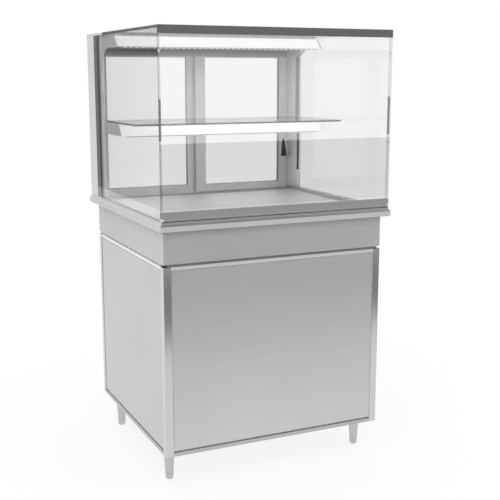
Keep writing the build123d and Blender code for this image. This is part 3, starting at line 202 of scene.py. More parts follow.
def eased(node, slot, material, radius, part=None, name=None, welded=False, steps=2):
    """A node's shape with its hard edges rounded, in place of the node.

    A part keeps only the faces that it is true for, and welded closes the mitres.
    """
    shape = bmesh.new()
    shape.from_mesh(frame["nodes"][node].data)
    bmesh.ops.remove_doubles(shape, verts=shape.verts, dist=0.000002)
    if part:
        spare = [face for face in shape.faces if not part(face.calc_center_median())]
        bmesh.ops.delete(shape, geom=spare, context="FACES")
    if welded:
        joints = [face for face in shape.faces if mitre(face)]
        bmesh.ops.delete(shape, geom=joints, context="FACES")
    bmesh.ops.dissolve_limit(
        shape, angle_limit=math.radians(0.4), verts=shape.verts, edges=shape.edges
    )
    name = name or node + "_eased"
    mesh = bpy.data.meshes.new(name)
    shape.to_mesh(mesh)
    shape.free()
    body = frame["nodes"][node]["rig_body"]
    piece = placed(name, smoothed(mesh), body, slot, material, node)
    return bevelled(piece, radius, steps)


def bar(shape, x, y, z):
    """Adds a block to a shape, between its pairs of X, Y and Z faces."""
    corners = [shape.verts.new((a, b, c)) for a in x for b in y for c in z]
    for side in ((0, 1, 3, 2), (4, 6, 7, 5), (0, 4, 5, 1),
                 (2, 3, 7, 6), (0, 2, 6, 4), (1, 5, 7, 3)):
        shape.faces.new([corners[index] for index in side])


def blocks(*boxes):
    """A shape of blocks, each given by its pairs of X, Y and Z faces."""
    shape = bmesh.new()
    for box in boxes:
        bar(shape, *box)
    return shape


def pair(x, y, z):
    """A block on the left and its mirror on the right, whose X faces are given."""
    return ((-x[1], -x[0]), y, z), (x, y, z)


def made(name, shape, body, slot, material, *replaced):
    """Turns a shape drawn in millimetres into a piece of a body."""
    bmesh.ops.scale(shape, vec=(MM, MM, MM), verts=shape.verts)
    bmesh.ops.recalc_face_normals(shape, faces=shape.faces)
    mesh = bpy.data.meshes.new(name)
    shape.to_mesh(mesh)
    shape.free()
    return placed(name, smoothed(mesh), body, slot, material, *replaced)


frame_upright = brushed("frame_upright", grey(0.62), 0.22, ALONG_Z)
# Painted light: a lighter copy for the top frame and the strips. Painted shade: a darker copy for
# the bottom frame.
frame_level_lit = brushed("frame_level_lit", grey(0.84), 0.28, ALONG_X, 0.05, 0.75)
frame_low_shaded = brushed("frame_low_shaded", grey(0.50), 0.32, ALONG_X)
eased("corner_posts", "stainless_frame", frame_upright, 0.6)
eased("top_frame", "stainless_frame", frame_level_lit, 2.2, steps=3)
eased("bottom_frame", "stainless_frame", frame_low_shaded, 1.0, steps=3)

TUBE_X, TUBE_FRONT, TUBE_REAR = 357.0, -329.0, 311.0
PANEL_LOW, PANEL_HIGH, REAR_PANEL_LOW = 120.0, 702.0, 470.0
STRIP, STRIP_IN, STRIP_OUT = 1.6, 19.5, 22.5
across, out = (TUBE_X - STRIP, TUBE_X), (TUBE_X + STRIP_IN, TUBE_X + STRIP_OUT)
front = (TUBE_FRONT - STRIP_OUT, TUBE_FRONT - STRIP_IN)
upright, level = (PANEL_LOW, PANEL_HIGH), (PANEL_HIGH - STRIP, PANEL_HIGH)
strips = blocks(
    *pair(across, front, upright),
    *pair(across, (TUBE_REAR + STRIP_IN, TUBE_REAR + STRIP_OUT), (REAR_PANEL_LOW, PANEL_HIGH)),
    *pair(out, (TUBE_FRONT, TUBE_FRONT + STRIP), upright),
    *pair(out, (TUBE_REAR - STRIP, TUBE_REAR), upright),
    *pair(out, (TUBE_FRONT + STRIP, TUBE_REAR - STRIP), level),
    ((STRIP - TUBE_X, TUBE_X - STRIP), front, level),
)
bevelled(made("panel_strips", strips, "root", "stainless_frame", frame_level_lit), 0.3)

# The floor pan under the machine: folded galvanised sheet inside the bottom rails.
# Its zinc coat shows the flat crystals that it sets in, some lighter than others.

ZINC_COAT = (0.60, 0.62, 0.63)
galvanised = finish("galvanised", ZINC_COAT, 1.0, 0.42)
place = added(galvanised, "TexCoord").outputs["Object"]
crystals = added(galvanised, "TexVoronoi", Vector=place, Scale=90.0).outputs["Color"]
crystals = added(galvanised, "RGBToBW", Color=crystals).outputs["Val"]
varied(galvanised, ZINC_COAT, crystals, 0.14)
shaded(galvanised, Roughness=between(galvanised, crystals, 0.33, 0.51))
relief(galvanised, noise_along(galvanised, 260.0), 0.1, 0.00005)
eased("base_floor", "galvanised_floor", galvanised, 0.5)

# Front, side and rear panels: folded stainless sheet, set a little back between the
# tubes. The rear panel is screwed on, and the rest are clipped from the inside.


def cross_brushed(material, share):
    """Spreads the mirror of upright faces up and down, as grain along them does."""
    tangent = added(material, "Tangent")
    tangent.direction_type = "RADIAL"
    tangent.axis = "Z"
    shaded(material, Tangent=tangent.outputs["Tangent"], Anisotropic=share,
           Anisotropic_Rotation=0.25)


panel_steel = brushed("panel_steel", grey(0.68), 0.46, ALONG_X, 0.03)
cross_brushed(panel_steel, 0.2)
side_steel = brushed("side_steel", grey(0.60), 0.38, ALONG_Y, 0.03)
eased("front_panel", "stainless_panel", panel_steel, 0.8)
eased("side_panels", "stainless_panel", side_steel, 0.8)
eased("rear_panel", "stainless_panel", panel_steel, 0.8)

# Pan-head screws with a cross recess, through the rear panel and the control box:
# zinc plated, turned and stamped, each drawn down on the sheet.


def cross(angle):
    """How far a cross recess reaches at an angle, as a share of its arm."""
    along, beside = abs(math.cos(angle)), abs(math.sin(angle))
    narrow = 0.3
    first = min(1 / max(along, 0.001), narrow / max(beside, 0.001))
    second = min(1 / max(beside, 0.001), narrow / max(along, 0.001))
    return max(first, second)


def hexagon(angle):
    """How far a hexagon reaches at an angle, as a share of its corner."""
    return math.cos(math.radians(30)) / math.cos(angle % math.radians(60) - math.radians(30))


def turned(shape, place, axis, profile, steps=32):
    """Adds a turned form about an axis through a place.

    The profile's points are (radius, height), with a third entry for a ring that isn't round.
    """
    turn = Vector(axis).to_track_quat("Z", "Y")
    rings = []
    for radius, height, *reach in profile:
        ring = []
        for index in range(steps if radius else 1):
            angle = 2 * math.pi * index / steps
            far = radius * (reach[0](angle) if reach else 1.0)
            point = Vector((far * math.cos(angle), far * math.sin(angle), height))
            ring.append(shape.verts.new(Vector(place) + turn @ point))
        rings.append(ring)
    for lower, upper in zip(rings, rings[1:]):
        for index in range(steps):
            after = (index + 1) % steps
            corners = [lower[index % len(lower)], lower[after % len(lower)],
                       upper[after % len(upper)], upper[index % len(upper)]]
            corners = list(dict.fromkeys(corners))
            if len(corners) > 2:
                shape.faces.new(corners)


UP, DOWN, REARWARD = (0, 0, 1), (0, 0, -1), (0, 1, 0)
PAN_HEAD = [(0, 0), (3.5, 0), (3.6, 0.8), (3.1, 1.6), (2.2, 2.0),
            (1.9, 2.05, cross), (1.7, 1.0, cross), (0, 0.9)]


def mottled(name, colour, metallic, roughness, cloud, contrast, spread=0.04, bumps=None,
            detail=4.0):
    """A finish whose colour and roughness vary by one noise, the cloud.

    Bumps are the scale, strength and height of a relief.
    """
    material = finish(name, colour, metallic, roughness)
    noise = noise_along(material, cloud, detail)
    varied(material, colour, noise, contrast)
    shaded(material, Roughness=between(material, noise, roughness - spread, roughness + spread))
    if bumps:
        scale, strength, height = bumps
        raised = noise if scale == cloud else noise_along(material, scale)
        relief(material, raised, strength, height)
    return material


zinc = mottled("zinc", (0.66, 0.66, 0.68), 1.0, 0.3, 400.0, 0.06)
REAR_FACE, BOX_FACE, CONTROL_X = 334.5, 362.0, 200.0
shape = bmesh.new()
for side in (-1, 1):
    for z in (482.0, 690.0):
        turned(shape, (side * 345, REAR_FACE, z), REARWARD, PAN_HEAD)
    for z in (743.0, 801.0):
        turned(shape, (CONTROL_X + side * 117, BOX_FACE, z), REARWARD, PAN_HEAD)
made("cross_screws", shape, "root", "zinc_steel", zinc, "screws")

# Service door: a folded stainless tray with pressed louvres, on two pin hinges that
# are screwed to the rear post, and held shut by a quarter-turn latch in a collar.

eased("service_door", "stainless_panel", panel_steel, 0.5)
eased("service_door_hinges", "zinc_steel", zinc, 0.4)

HINGE_LEVELS = (181.5, 408.5)
POST_LEAF, DOOR_LEAF = (-369.0, 338.0), (-340.0, 336.5)
COUNTERSUNK = [(0, 0), (3.6, 0), (3.6, 0.35), (2.6, 0.6), (1.7, 0.62, cross), (1.4, 0.1, cross),
               (0, 0.05)]
shape = bmesh.new()
for level in HINGE_LEVELS:
    for rise in (-22.0, 22.0):
        turned(shape, (*POST_LEAF, level + rise), REARWARD, COUNTERSUNK)
made("hinge_post_screws", shape, "root", "zinc_steel", zinc)
shape = bmesh.new()
for level in HINGE_LEVELS:
    turned(shape, (*DOOR_LEAF, level), REARWARD, COUNTERSUNK)
made("hinge_door_screws", shape, "service_door", "zinc_steel", zinc)

chrome = mottled("chrome", (0.80, 0.80, 0.82), 1.0, 0.12, 300.0, 0.03, 0.05)
eased("service_door_latch", "chrome_latch", chrome, 0.5, steps=3)
LATCH_X, LATCH_Z = 333.5, 295.0
shape = bmesh.new()
turned(shape, (LATCH_X, REAR_FACE, LATCH_Z), REARWARD,
       [(12.4, 0), (16.5, 0), (16.5, 1.0), (15.4, 2.2), (13.2, 2.2), (12.4, 1.4), (12.4, 0)], 48)
for side in (-1, 1):
    turned(shape, (LATCH_X + side * 22, REAR_FACE, LATCH_Z), REARWARD,
           [(0, 0), (2.0, 0), (1.9, 0.7), (1.2, 1.1), (0, 1.2)], 20)
made("latch_collar", shape, "service_door", "chrome_latch", chrome)

# Cable gland: a moulded nylon gland with a six-sided body and a ribbed dome nut,
# screwed into the rear panel and held by its nut inside. The cord isn't fitted.

nylon = mottled("nylon", (0.045, 0.045, 0.048), 0.0, 0.45, 900.0, 0.15,
                bumps=(900.0, 0.15, 0.0001))


def ribs(angle):
    """How far the dome nut's grip ribs reach, as a share of its radius."""
    return 1.0 + 0.05 * max(0.0, math.cos(16 * angle))


GLAND = (282.0, REAR_FACE, 642.0)
shape = bmesh.new()
turned(shape, GLAND, REARWARD, [
    (4.6, -6.4), (13.0, -6.4, hexagon), (13.0, -1.6, hexagon), (10.0, -1.5), (10.0, 0),
    (12.6, 0.05, hexagon), (13.0, 0.5, hexagon), (13.0, 4.6, hexagon), (12.4, 5.0, hexagon),
    (9.2, 5.0), (9.2, 6.0), (10.3, 6.1, ribs), (10.4, 12.0, ribs), (9.4, 14.6, ribs),
    (7.2, 15.8), (5.2, 16.0), (4.6, 15.2), (4.6, -6.4),
], 96)
made("ribbed_gland", shape, "root", "dark_plastic", nylon, "cable_gland")

# Legs and feet: turned and tapered stainless, each on a plate with four bolts under
# the floor, with a screwed foot at the tip that levels the case.

leg_steel = brushed("leg_steel", grey(0.54), 0.3, 500.0, 0.03)
eased("leg_bodies", "stainless_leg", leg_steel, 0.5)
LEG_PLACES = {"front_left": (-344, -273), "front_right": (344, -273),
              "rear_left": (-344, 244), "rear_right": (344, 244)}
HEX_BOLT = [(0, 0), (7.5, 0), (7.5, 0.9), (6.4, 1.0, hexagon), (6.5, 4.2, hexagon),
            (5.6, 4.8, hexagon), (0, 4.9)]
PLATE_LOW, BOLT_OUT = 104, 21
THREAD_LOW, THREAD_TURNS, THREAD_PITCH = 21.7, 18, 2.6
shape = bmesh.new()
for x, y in LEG_PLACES.values():
    for out_x in (-BOLT_OUT, BOLT_OUT):
        for out_y in (-BOLT_OUT, BOLT_OUT):
            turned(shape, (x + out_x, y + out_y, PLATE_LOW), DOWN, HEX_BOLT, 24)
made("leg_bolts", shape, "root", "zinc_steel", zinc)
for corner, (x, y) in LEG_PLACES.items():
    eased("foot_" + corner, "stainless_leg", leg_steel, 0.4)
    shape = bmesh.new()
    thread = [(0, THREAD_LOW), (6.0, THREAD_LOW)]
    for turn in range(THREAD_TURNS):
        height = THREAD_LOW + 0.7 + turn * THREAD_PITCH
        thread += [(6.0, height), (5.5, height + 0.7), (5.5, height + 1.3), (6.0, height + 2.0)]
    thread.append((0, thread[-1][1]))
    turned(shape, (x, y, 0), UP, thread, 24)
    made("thread_" + corner, shape, "foot_" + corner, "stainless_leg", leg_steel)

# Apron: the stainless band round the refrigerated well, of folded sheet with welded
# corners. It is brushed along its length and takes a soft cloudy polish.

apron_steel = brushed("apron_steel", grey(0.78), 0.62, ALONG_X, 0.03)
cross_brushed(apron_steel, 0.8)
eased("apron", "stainless_panel", apron_steel, 1.2, welded=True, steps=3)

# Under the slab's overhang: a black deadening coat, sprayed on the folded sheet; its black is
# also painted shade, which the top of the apron mirrors. In the gap over the cupboard: a dark
# rubber seal in front, painted shade, and pale strips of foam at the sides, painted light that
# lifts the gap's shade.


def rubbery(name, colour, roughness=0.6):
    """Soft rubber: dull, with a fine bloom on its face."""
    return mottled(name, colour, 0.0, roughness, 120.0, 0.25, 0.08, (1500.0, 0.2, 0.00005))


# Painted shade: the coat is black so that the apron's top mirrors a dark overhang.
drum_and_shade_coat = rubbery("drum_and_shade_coat", grey(0.03), 0.75)
COAT, COAT_SIDES = (823.2, 824.0), (-354.5, 336.5)
made("drum_and_shade_coat", blocks(
    ((-396, 396), (-381, -354.5), COAT), ((-396, 396), (336.5, 381), COAT),
    *pair((382.5, 396), COAT_SIDES, COAT),
), "root", "black_rubber", drum_and_shade_coat)
GAP = (712.1, 719.9)
seal = blocks(((-368.0, 368.0), (-351.5, -342.2), GAP))
# Painted shade: the front seal is dark grey to darken the gap.
groove_shade_rubber = rubbery("groove_shade_rubber", grey(0.13), 0.7)
bevelled(made("front_groove_seal", seal, "root", "black_rubber", groove_shade_rubber), 0.8)
# Painted light: the side strips are pale grey to lighten the shaded gap.
groove_light_foam = rubbery("groove_light_foam", grey(0.50), 0.7)
seals = blocks(*pair((369.8, 379.0), (-328.0, 310.0), GAP))
bevelled(made("groove_seals", seals, "root", "foam", groove_light_foam), 0.8)

# Counter: thick folded stainless with a square nosing, a sloped edge and the plinth
# of the glass case. Its corners are mitred, welded and ground, so no joint shows. A
# black bead of rubber lies along the plinth, where the front glass shuts on it.

NOSING_TOP, NOSING_BACK = 0.8401, -0.33
counter_steel = brushed("counter_steel", grey(0.62), 0.34, ALONG_X, 0.03)
# Painted light: the nosing's front faces take a lighter copy of the counter's steel.
nosing_steel_lit = brushed("nosing_steel_lit", grey(0.86), 0.5, ALONG_X, 0.03)
cross_brushed(nosing_steel_lit, 0.7)
piece = eased("countertop", "stainless_counter", counter_steel, 1.2, welded=True, steps=3)
piece.data.materials.append(nosing_steel_lit)
for face in piece.data.polygons:
    if face.center.z < NOSING_TOP and face.center.y < NOSING_BACK and abs(face.normal.y) > 0.9:
        face.material_index = 1
made("hinge_bead", blocks(((-392, 392), (-380.3, -379.6), (852.6, 855.0))),
     "root", "black_rubber", drum_and_shade_coat)

# The refrigerated well: foam slabs behind a pressed stainless tank. The foam is cut
# from blocks, and shows its cells and saw marks where it is seen from below.

foam = mottled("foam", (0.82, 0.79, 0.67), 0.0, 0.9, 700.0, 0.1, bumps=(700.0, 0.6, 0.0006),
               detail=6.0)
eased("well_insulation", "foam", foam, 0.4)
liner_steel = brushed("liner_steel", (0.68, 0.68, 0.69), 0.34, ALONG_X, 0.03)
eased("well_liner", "stainless_liner", liner_steel, 0.4)

# Display deck: a folded stainless pan that lifts out, with a slotted grille let in
# along its front, where the air goes down, and along its back, where it comes up. A
# black seal fills the joint round it.

deck_steel = brushed("deck_steel", grey(0.72), 0.5, ALONG_X, 0.03, 0.8)
eased("display_deck", "stainless_deck", deck_steel, 0.5)
grille_metal = brushed("grille_metal", (0.76, 0.76, 0.77), 0.32, ALONG_X, 0.03)
eased("air_grilles", "anodised_grille", grille_metal, 0.25)
SEAL_X, SEAL_Y, DECK_TOP = 371.0, (-361.2, 315.2), 843.0
SEAL_Z = (DECK_TOP - 1.6, DECK_TOP - 0.5)
rubber = rubbery("rubber", grey(0.03))
made("deck_seal", blocks(
    *pair((SEAL_X, SEAL_X + 0.9), SEAL_Y, SEAL_Z),
    ((-SEAL_X, SEAL_X), (SEAL_Y[0] - 0.7, SEAL_Y[0]), SEAL_Z),
    ((-SEAL_X, SEAL_X), (SEAL_Y[1], SEAL_Y[1] + 0.7), SEAL_Z),
), "root", "black_rubber", rubber)

# Evaporator: copper tubes through thin aluminium fins between two folded end plates,
# joined at their ends by brazed return bends. A fan blows through it from a baffle.

fins = mottled("fins", (0.72, 0.73, 0.74), 1.0, 0.42, (30.0, 30.0, 160.0), 0.08)
copper = mottled("copper", (0.72, 0.38, 0.24), 1.0, 0.3, 40.0, 0.22, 0.1, detail=5.0)


def wire(name, radius, sides):
    """A new curve for round wire or tube."""
    curve = bpy.data.curves.new(name, "CURVE")
    curve.dimensions = "3D"
    curve.bevel_depth = radius * MM
    curve.bevel_resolution = sides
    return curve


def run(curve, points, closed=False):
    """Adds a length of a wire, through points in millimetres."""
    length = curve.splines.new("POLY")
    length.points.add(len(points) - 1)
    length.use_cyclic_u = closed
    for point, place in zip(length.points, points):
        point.co = (*(part * MM for part in place), 1)


FIN_HALF, TUBE_RADIUS, BEND_STEPS = 0.12, 4.5, 12


def finned(node, x, y, z, rows, columns, pitch, skipped, plate_material):
    """A coil in place of its node: fins, end plates, tubes and return bends."""
    shape = bmesh.new()
    count = int((x[1] - x[0] - 8) / pitch)
    first = (x[0] + x[1] - (count - 1) * pitch) / 2
    for index in range(count):
        middle = first + index * pitch
        bar(shape, (middle - FIN_HALF, middle + FIN_HALF),
            (y[0] + 0.5, y[1] - 0.5), (z[0] + 0.6, z[1] - 0.6))
    made(node + "_fins", shape, "root", "coil_aluminium", fins, node)
    shape = bmesh.new()
    for end, into in ((x[0], 1), (x[1], -1)):
        bar(shape, sorted((end, end + 1.5 * into)), y, z)
        for face, step in ((y[0], 1), (y[1], -1)):
            lip = sorted((face, face + 1.2 * step))
            bar(shape, sorted((end + 1.5 * into, end + 9 * into)), lip, (z[0] + 2, z[1] - 2))
    bevelled(made(node + "_plates", shape, "root", "galvanised_floor", plate_material), 0.3)
    length = x[1] - x[0] + 6
    row_pitch = (z[1] - z[0]) / rows
    column_pitch = (y[1] - y[0]) / columns
    shape = bmesh.new()
    bends = wire(node + "_bends", TUBE_RADIUS, 4)
    for column in range(columns):
        tube_y = y[0] + (column + 0.5) * column_pitch
        for row in range(rows):
            tube_z = z[0] + (row + 0.5) * row_pitch
            turned(shape, (x[0] - 3, tube_y, tube_z), (1, 0, 0),
                   [(0, 0), (TUBE_RADIUS, 0), (TUBE_RADIUS, length), (0, length)], 12)
            for end, out, parity in ((x[0], -1, column % 2), (x[1], 1, (column + 1) % 2)):
                ends = {(column, row), (column, row + 1)}
                if row % 2 != parity or row + 1 >= rows or (out < 0 and ends & skipped):
                    continue
                angles = [math.pi * index / BEND_STEPS for index in range(BEND_STEPS + 1)]
                run(bends, [(end + out * (3 + math.sin(angle) * row_pitch / 2), tube_y,
                             tube_z + (1 - math.cos(angle)) * row_pitch / 2) for angle in angles])
    made(node + "_tubes", shape, "root", "copper", copper)
    placed(node + "_bends", bends, "root", "copper", copper)


finned("evaporator_coil", (-260, 260), (62, 158), (751.2, 813.2), 4, 3, 4.0,
       {(0, 1), (2, 2)}, galvanised)
eased("fan_baffle", "galvanised_floor", galvanised, 0.3)

# Fan rotors: moulded plastic, five swept and twisted blades on a hub that is pressed
# on the motor's shaft. The large one stands in a shroud behind a wire guard.


def moulded(name, colour, roughness=0.4):
    """Hard moulded plastic with a faint flow pattern and a fine spark texture."""
    return mottled(name, colour, 0.0, roughness, 25.0, 0.12, bumps=(1200.0, 0.12, 0.00005))


fan_plastic = moulded("fan_plastic", (0.06, 0.06, 0.065))


def rotor(node, centre, radius, hub, width, chord):
    """A fan rotor about Y in place of its node."""
    shape = bmesh.new()
    half = width / 2
    turned(shape, centre, REARWARD, [
        (3.1, -half), (hub * 0.45, -half), (hub * 0.5, -half + 1.5), (hub * 0.8, -half + 1.0),
        (hub, -half + 2.5), (hub, half - 0.6), (hub - 0.6, half), (3.1, half), (3.1, -half),
    ], 48)
    blades, across, along = 5, 10, 8
    for blade in range(blades):
        sheets = []
        for thick in (-0.7, 0.7):
            grid = []
            for i in range(across + 1):
                share = i / across
                reach = hub - 1.5 + share * (radius - hub + 1.2)
                pitch = math.radians(40 - 15 * share)
                width_here = chord * (0.86 + 0.3 * math.sin(math.pi * (0.15 + 0.7 * share)))
                row = []
                for j in range(along + 1):
                    step = j / along - 0.5
                    camber = (0.25 - step * step) * chord * 0.18
                    round_off = math.cos(math.pi * step) ** 0.35 if share > 0.8 else 1.0
                    out = reach - (1 - round_off) * (share - 0.8) * 0.5 * (radius - hub)
                    depth = step * width_here * math.sin(pitch) + camber * math.cos(pitch)
                    depth += thick * math.cos(pitch)
                    sweep = step * width_here * math.cos(pitch) - camber * math.sin(pitch)
                    sweep -= thick * math.sin(pitch)
                    angle = blade * 2 * math.pi / blades + sweep / reach + 0.35 * share
                    depth = max(-half + 0.1, min(half - 0.1, depth))
                    out = min(out, radius - 0.1)
                    row.append(shape.verts.new((centre[0] + out * math.cos(angle),
                                                centre[1] + depth,
                                                centre[2] + out * math.sin(angle))))
                grid.append(row)
            sheets.append(grid)
        for grid in sheets:
            for near, far in zip(grid, grid[1:]):
                for j in range(along):
                    shape.faces.new((near[j], far[j], far[j + 1], near[j + 1]))
        lower, upper = sheets
        rim = [(0, j) for j in range(along)] + [(i, along) for i in range(across)]
        rim += [(across, j) for j in range(along, 0, -1)] + [(i, 0) for i in range(across, 0, -1)]
        for (i, j), (k, m) in zip(rim, rim[1:] + rim[:1]):
            shape.faces.new((lower[i][j], lower[k][m], upper[k][m], upper[i][j]))
    made(node + "_rotor", shape, node, "fan_plastic", fan_plastic, node)


rotor("evaporator_fan", (0, 28, 791.2), 32, 12, 14, 16)
rotor("condenser_fan", (150, 220, 234), 100, 28, 28, 44)

# Condenser: the same build as the evaporator, on the floor behind the louvred door,
# with a galvanised fan shroud. A welded wire guard is clipped over the shroud's ring.

finned("condenser_coil", (20, 280), (237, 281), (109, 359), 8, 2, 3.0,
       {(0, 3), (0, 7)}, galvanised)
eased("condenser_fan_shroud", "galvanised_floor", galvanised, 0.4)

FAN_X, GUARD_Y, FAN_Z = 150.0, 195.6, 234.0
guard = wire("condenser_fan_guard", 1.1, 3)


def on_guard(reach, angle, y=GUARD_Y):
    """A point of the guard, from the middle of the fan."""
    return FAN_X + reach * math.cos(angle), y, FAN_Z + reach * math.sin(angle)


for radius in (14, 28, 42, 56, 70, 84, 98):
    run(guard, [on_guard(radius, 2 * math.pi * index / 48) for index in range(48)], True)
for spoke in range(6):
    angle = math.radians(60 * spoke + 30)
    run(guard, [on_guard(14, angle, GUARD_Y - 1.6), on_guard(103, angle, GUARD_Y - 1.6),
                on_guard(104.5, angle, 199.5)])
placed("condenser_fan_guard", guard, "root", "zinc_steel", zinc)

MOTOR_Y = 206.0
black_enamel = moulded("black_enamel", (0.018, 0.018, 0.02), 0.3)
shape = bmesh.new()
turned(shape, (FAN_X, MOTOR_Y - 1, FAN_Z), (0, -1, 0), [
    (30.2, 0), (30.4, 6), (29.6, 6.2), (29.6, 9), (30.4, 9.2), (30.4, 40),
    (28, 45), (9, 46), (0, 46),
], 40)
made("condenser_motor_cap", shape, "root", "black_enamel", black_enamel)

# Compressor: a drawn and welded steel shell with a black enamel coat, on a foot plate
# that is bolted down on rubber mounts. Its terminals are under a clipped cover.

COMPRESSOR = (-150.0, 120.0)
shape = bmesh.new()
turned(shape, (*COMPRESSOR, 0), UP, [
    (0, 129.0), (62, 129.0), (72, 131.5), (76.5, 137), (77.6, 145), (77.6, 203), (79.4, 204),
    (80.0, 205.5), (79.4, 207), (77.8, 208), (77.8, 236), (76.5, 246), (72, 257), (63, 267),
    (48, 272.6), (30, 274.7), (10, 275), (0, 275),
], 72)
turned(shape, (*COMPRESSOR, 272), UP, [(0, 0), (7, 0), (7, 2.6), (5, 3.0), (0, 3.0)], 24)
for stub_x, stub_y, stub_z, axis in ((0, -1, 211, (0, -1, 0)), (1, 0, 218.4, (1, 0, 0)),
                                     (-0.5, -0.86, 190, (-0.5, -0.86, 0))):
    start = (COMPRESSOR[0] + stub_x * 76, COMPRESSOR[1] + stub_y * 76, stub_z)
    turned(shape, start, axis, [(7.5, 0), (7.2, 3), (5.6, 5), (5.4, 11), (4.2, 12), (0, 12)], 20)
made("compressor_shell", shape, "root", "black_enamel", black_enamel, "compressor")
bevelled(made("compressor_foot_plate", blocks(((-248, -52), (49, 191), (125, 129))),
              "root", "black_enamel", black_enamel), 1.2)
cover = blocks(((-252, -220), (92, 148), (151, 217)), ((-254, -250), (98, 142), (157, 211)))
bevelled(made("terminal_cover", cover, "root", "dark_plastic", nylon), 2.5, 3)
shape = bmesh.new()
for side_x in (-1, 1):
    for side_y in (-1, 1):
        place = (COMPRESSOR[0] + side_x * 80, COMPRESSOR[1] + side_y * 55, 129)
        turned(shape, place, UP, [
            (0, 0), (11, 0), (11, 1.4), (7.4, 1.5, hexagon), (7.5, 6.4, hexagon),
            (6.6, 7, hexagon), (4, 7.1), (4, 10.4), (3.4, 11), (0, 11)], 24)
made("mount_nuts", shape, "root", "zinc_steel", zinc)
eased("rubber_mounts", "black_rubber", rubber, 1.0)

# Refrigerant lines: drawn copper bent to fit, with a spun copper filter drier let into
# the liquid line, and a ring of brazing at each joint.

eased("refrigerant_pipes", "copper", copper, 0.2)
DRIER = (-10.0, 248.0)
shape = bmesh.new()
turned(shape, (*DRIER, 0), UP, [
    (4.3, 368), (5.6, 370), (5.8, 379), (8, 383), (12.3, 388), (12.3, 395), (12.6, 396),
    (12.6, 398), (12.3, 399), (12.3, 458), (12.6, 459), (12.6, 461), (12.3, 462), (12.3, 468),
    (8, 474), (5.8, 478), (5.6, 487), (4.3, 489),
], 32)
for x, y, z, axis in ((-263.8, 78, 774.45, (-1, 0, 0)), (-263.8, 142, 789.95, (-1, 0, 0)),
                      (16.2, 248, 218.4, (-1, 0, 0)), (16.2, 248, 343.4, (-1, 0, 0))):
    turned(shape, (x, y, z), axis, [(4.4, -0.4), (5.7, 0.2), (5.6, 9), (4.3, 10.4)], 20)
made("drier_and_brazing", shape, "root", "copper", copper)

# Drain and condensate tray: a grey PVC pipe from the well, with a moulded collar,
# down into an open tray on the floor, which the warm air of the machine dries.

grey_pvc = moulded("grey_pvc", (0.42, 0.43, 0.44), 0.5)
eased("drain_pipe", "grey_pvc", grey_pvc, 0.3)
eased("condensate_tray", "grey_pvc", grey_pvc, 0.6)
shape = bmesh.new()
turned(shape, (215, -40, 0), UP, [
    (9.1, 708), (13, 708), (13, 718), (16.5, 719.4), (16.5, 719.9), (9.1, 719.9)], 32)
made("drain_collar", shape, "root", "grey_pvc", grey_pvc)

# Control box on the rear apron: a shallow stainless box. Its thermostat has a moulded
# bezel, a sunk display and three sprung buttons, and beside it are two rocker switches.

eased("control_panel", "stainless_panel", panel_steel, 0.5)
dark_plastic = moulded("dark_plastic", (0.035, 0.035, 0.038), 0.42)
eased("thermostat", "dark_plastic", dark_plastic, 0.6)
BEZEL_Y, CONTROL_Z = 365.0, 772.0
DISPLAY_X = 120.0
pane_black = moulded("display_pane", (0.012, 0.010, 0.010), 0.08)
display = blocks(((DISPLAY_X - 15, DISPLAY_X + 15), (BEZEL_Y - 0.85, BEZEL_Y - 0.4),
                  (CONTROL_Z - 7, CONTROL_Z + 7)))
bevelled(made("display_pane", display, "root", "dark_plastic", pane_black), 0.2)

digit_glow = mottled("digit_glow", (0.75, 0.10, 0.05), 0.0, 0.4, 500.0, 0.08)
shaded(digit_glow, Emission_Color=(0.9, 0.10, 0.04, 1), Emission_Strength=0.6)
SEGMENTS = {"a": (0, 1, 1), "b": (1, 0.5, 0), "c": (1, -0.5, 0), "d": (0, -1, 1),
            "e": (-1, -0.5, 0), "f": (-1, 0.5, 0), "g": (0, 0, 1)}
shape = bmesh.new()
for middle, lit in ((DISPLAY_X + 5.4, "fgbc"), (DISPLAY_X - 3.4, "abcdef")):
    for name in lit:
        side, rise, level = SEGMENTS[name]
        x, z = middle - side * 2.1, CONTROL_Z + rise * 4.0
        half_x, half_z = (1.6, 0.4) if level else (0.4, 1.6)
        bar(shape, (x - half_x, x + half_x), (BEZEL_Y - 0.45, BEZEL_Y - 0.3),
            (z - half_z, z + half_z))
turned(shape, (DISPLAY_X + 1.0, BEZEL_Y - 0.45, CONTROL_Z - 4.1), REARWARD,
       [(0.45, 0), (0.45, 0.15), (0, 0.15)], 12)
made("display_digits", shape, "root", "lamp_lens", digit_glow)

button_plastic = moulded("button_plastic", (0.16, 0.16, 0.17), 0.5)
mark_white = moulded("mark_white", grey(0.80), 0.5)
CAP_Y = 366.5
for name, x, turn in (("up", 144, 1), ("set", 155, 0), ("down", 166, -1)):
    eased("button_" + name, "button_plastic", button_plastic, 0.3, steps=3)
    shape = bmesh.new()
    if turn:
        turned(shape, (x, CAP_Y - 0.02, CONTROL_Z), REARWARD,
               [(1.9, 0), (1.9, 0.12), (0, 0.12)], 3)
        for vert in shape.verts:
            out_x, out_z = vert.co.x - x, vert.co.z - CONTROL_Z
            vert.co.x, vert.co.z = x + out_z, CONTROL_Z - turn * out_x
    else:
        turned(shape, (x, CAP_Y - 0.02, CONTROL_Z), REARWARD,
               [(1.2, 0), (1.8, 0), (1.8, 0.12), (1.2, 0.12), (1.2, 0)], 24)
    made("mark_" + name, shape, "button_" + name, "button_plastic", mark_white)

switch_plastic = moulded("switch_plastic", grey(0.022), 0.28)
AXIS_Y, TILT, SUNK, PROUD = 361.0, math.radians(-7), -0.1, 0.12


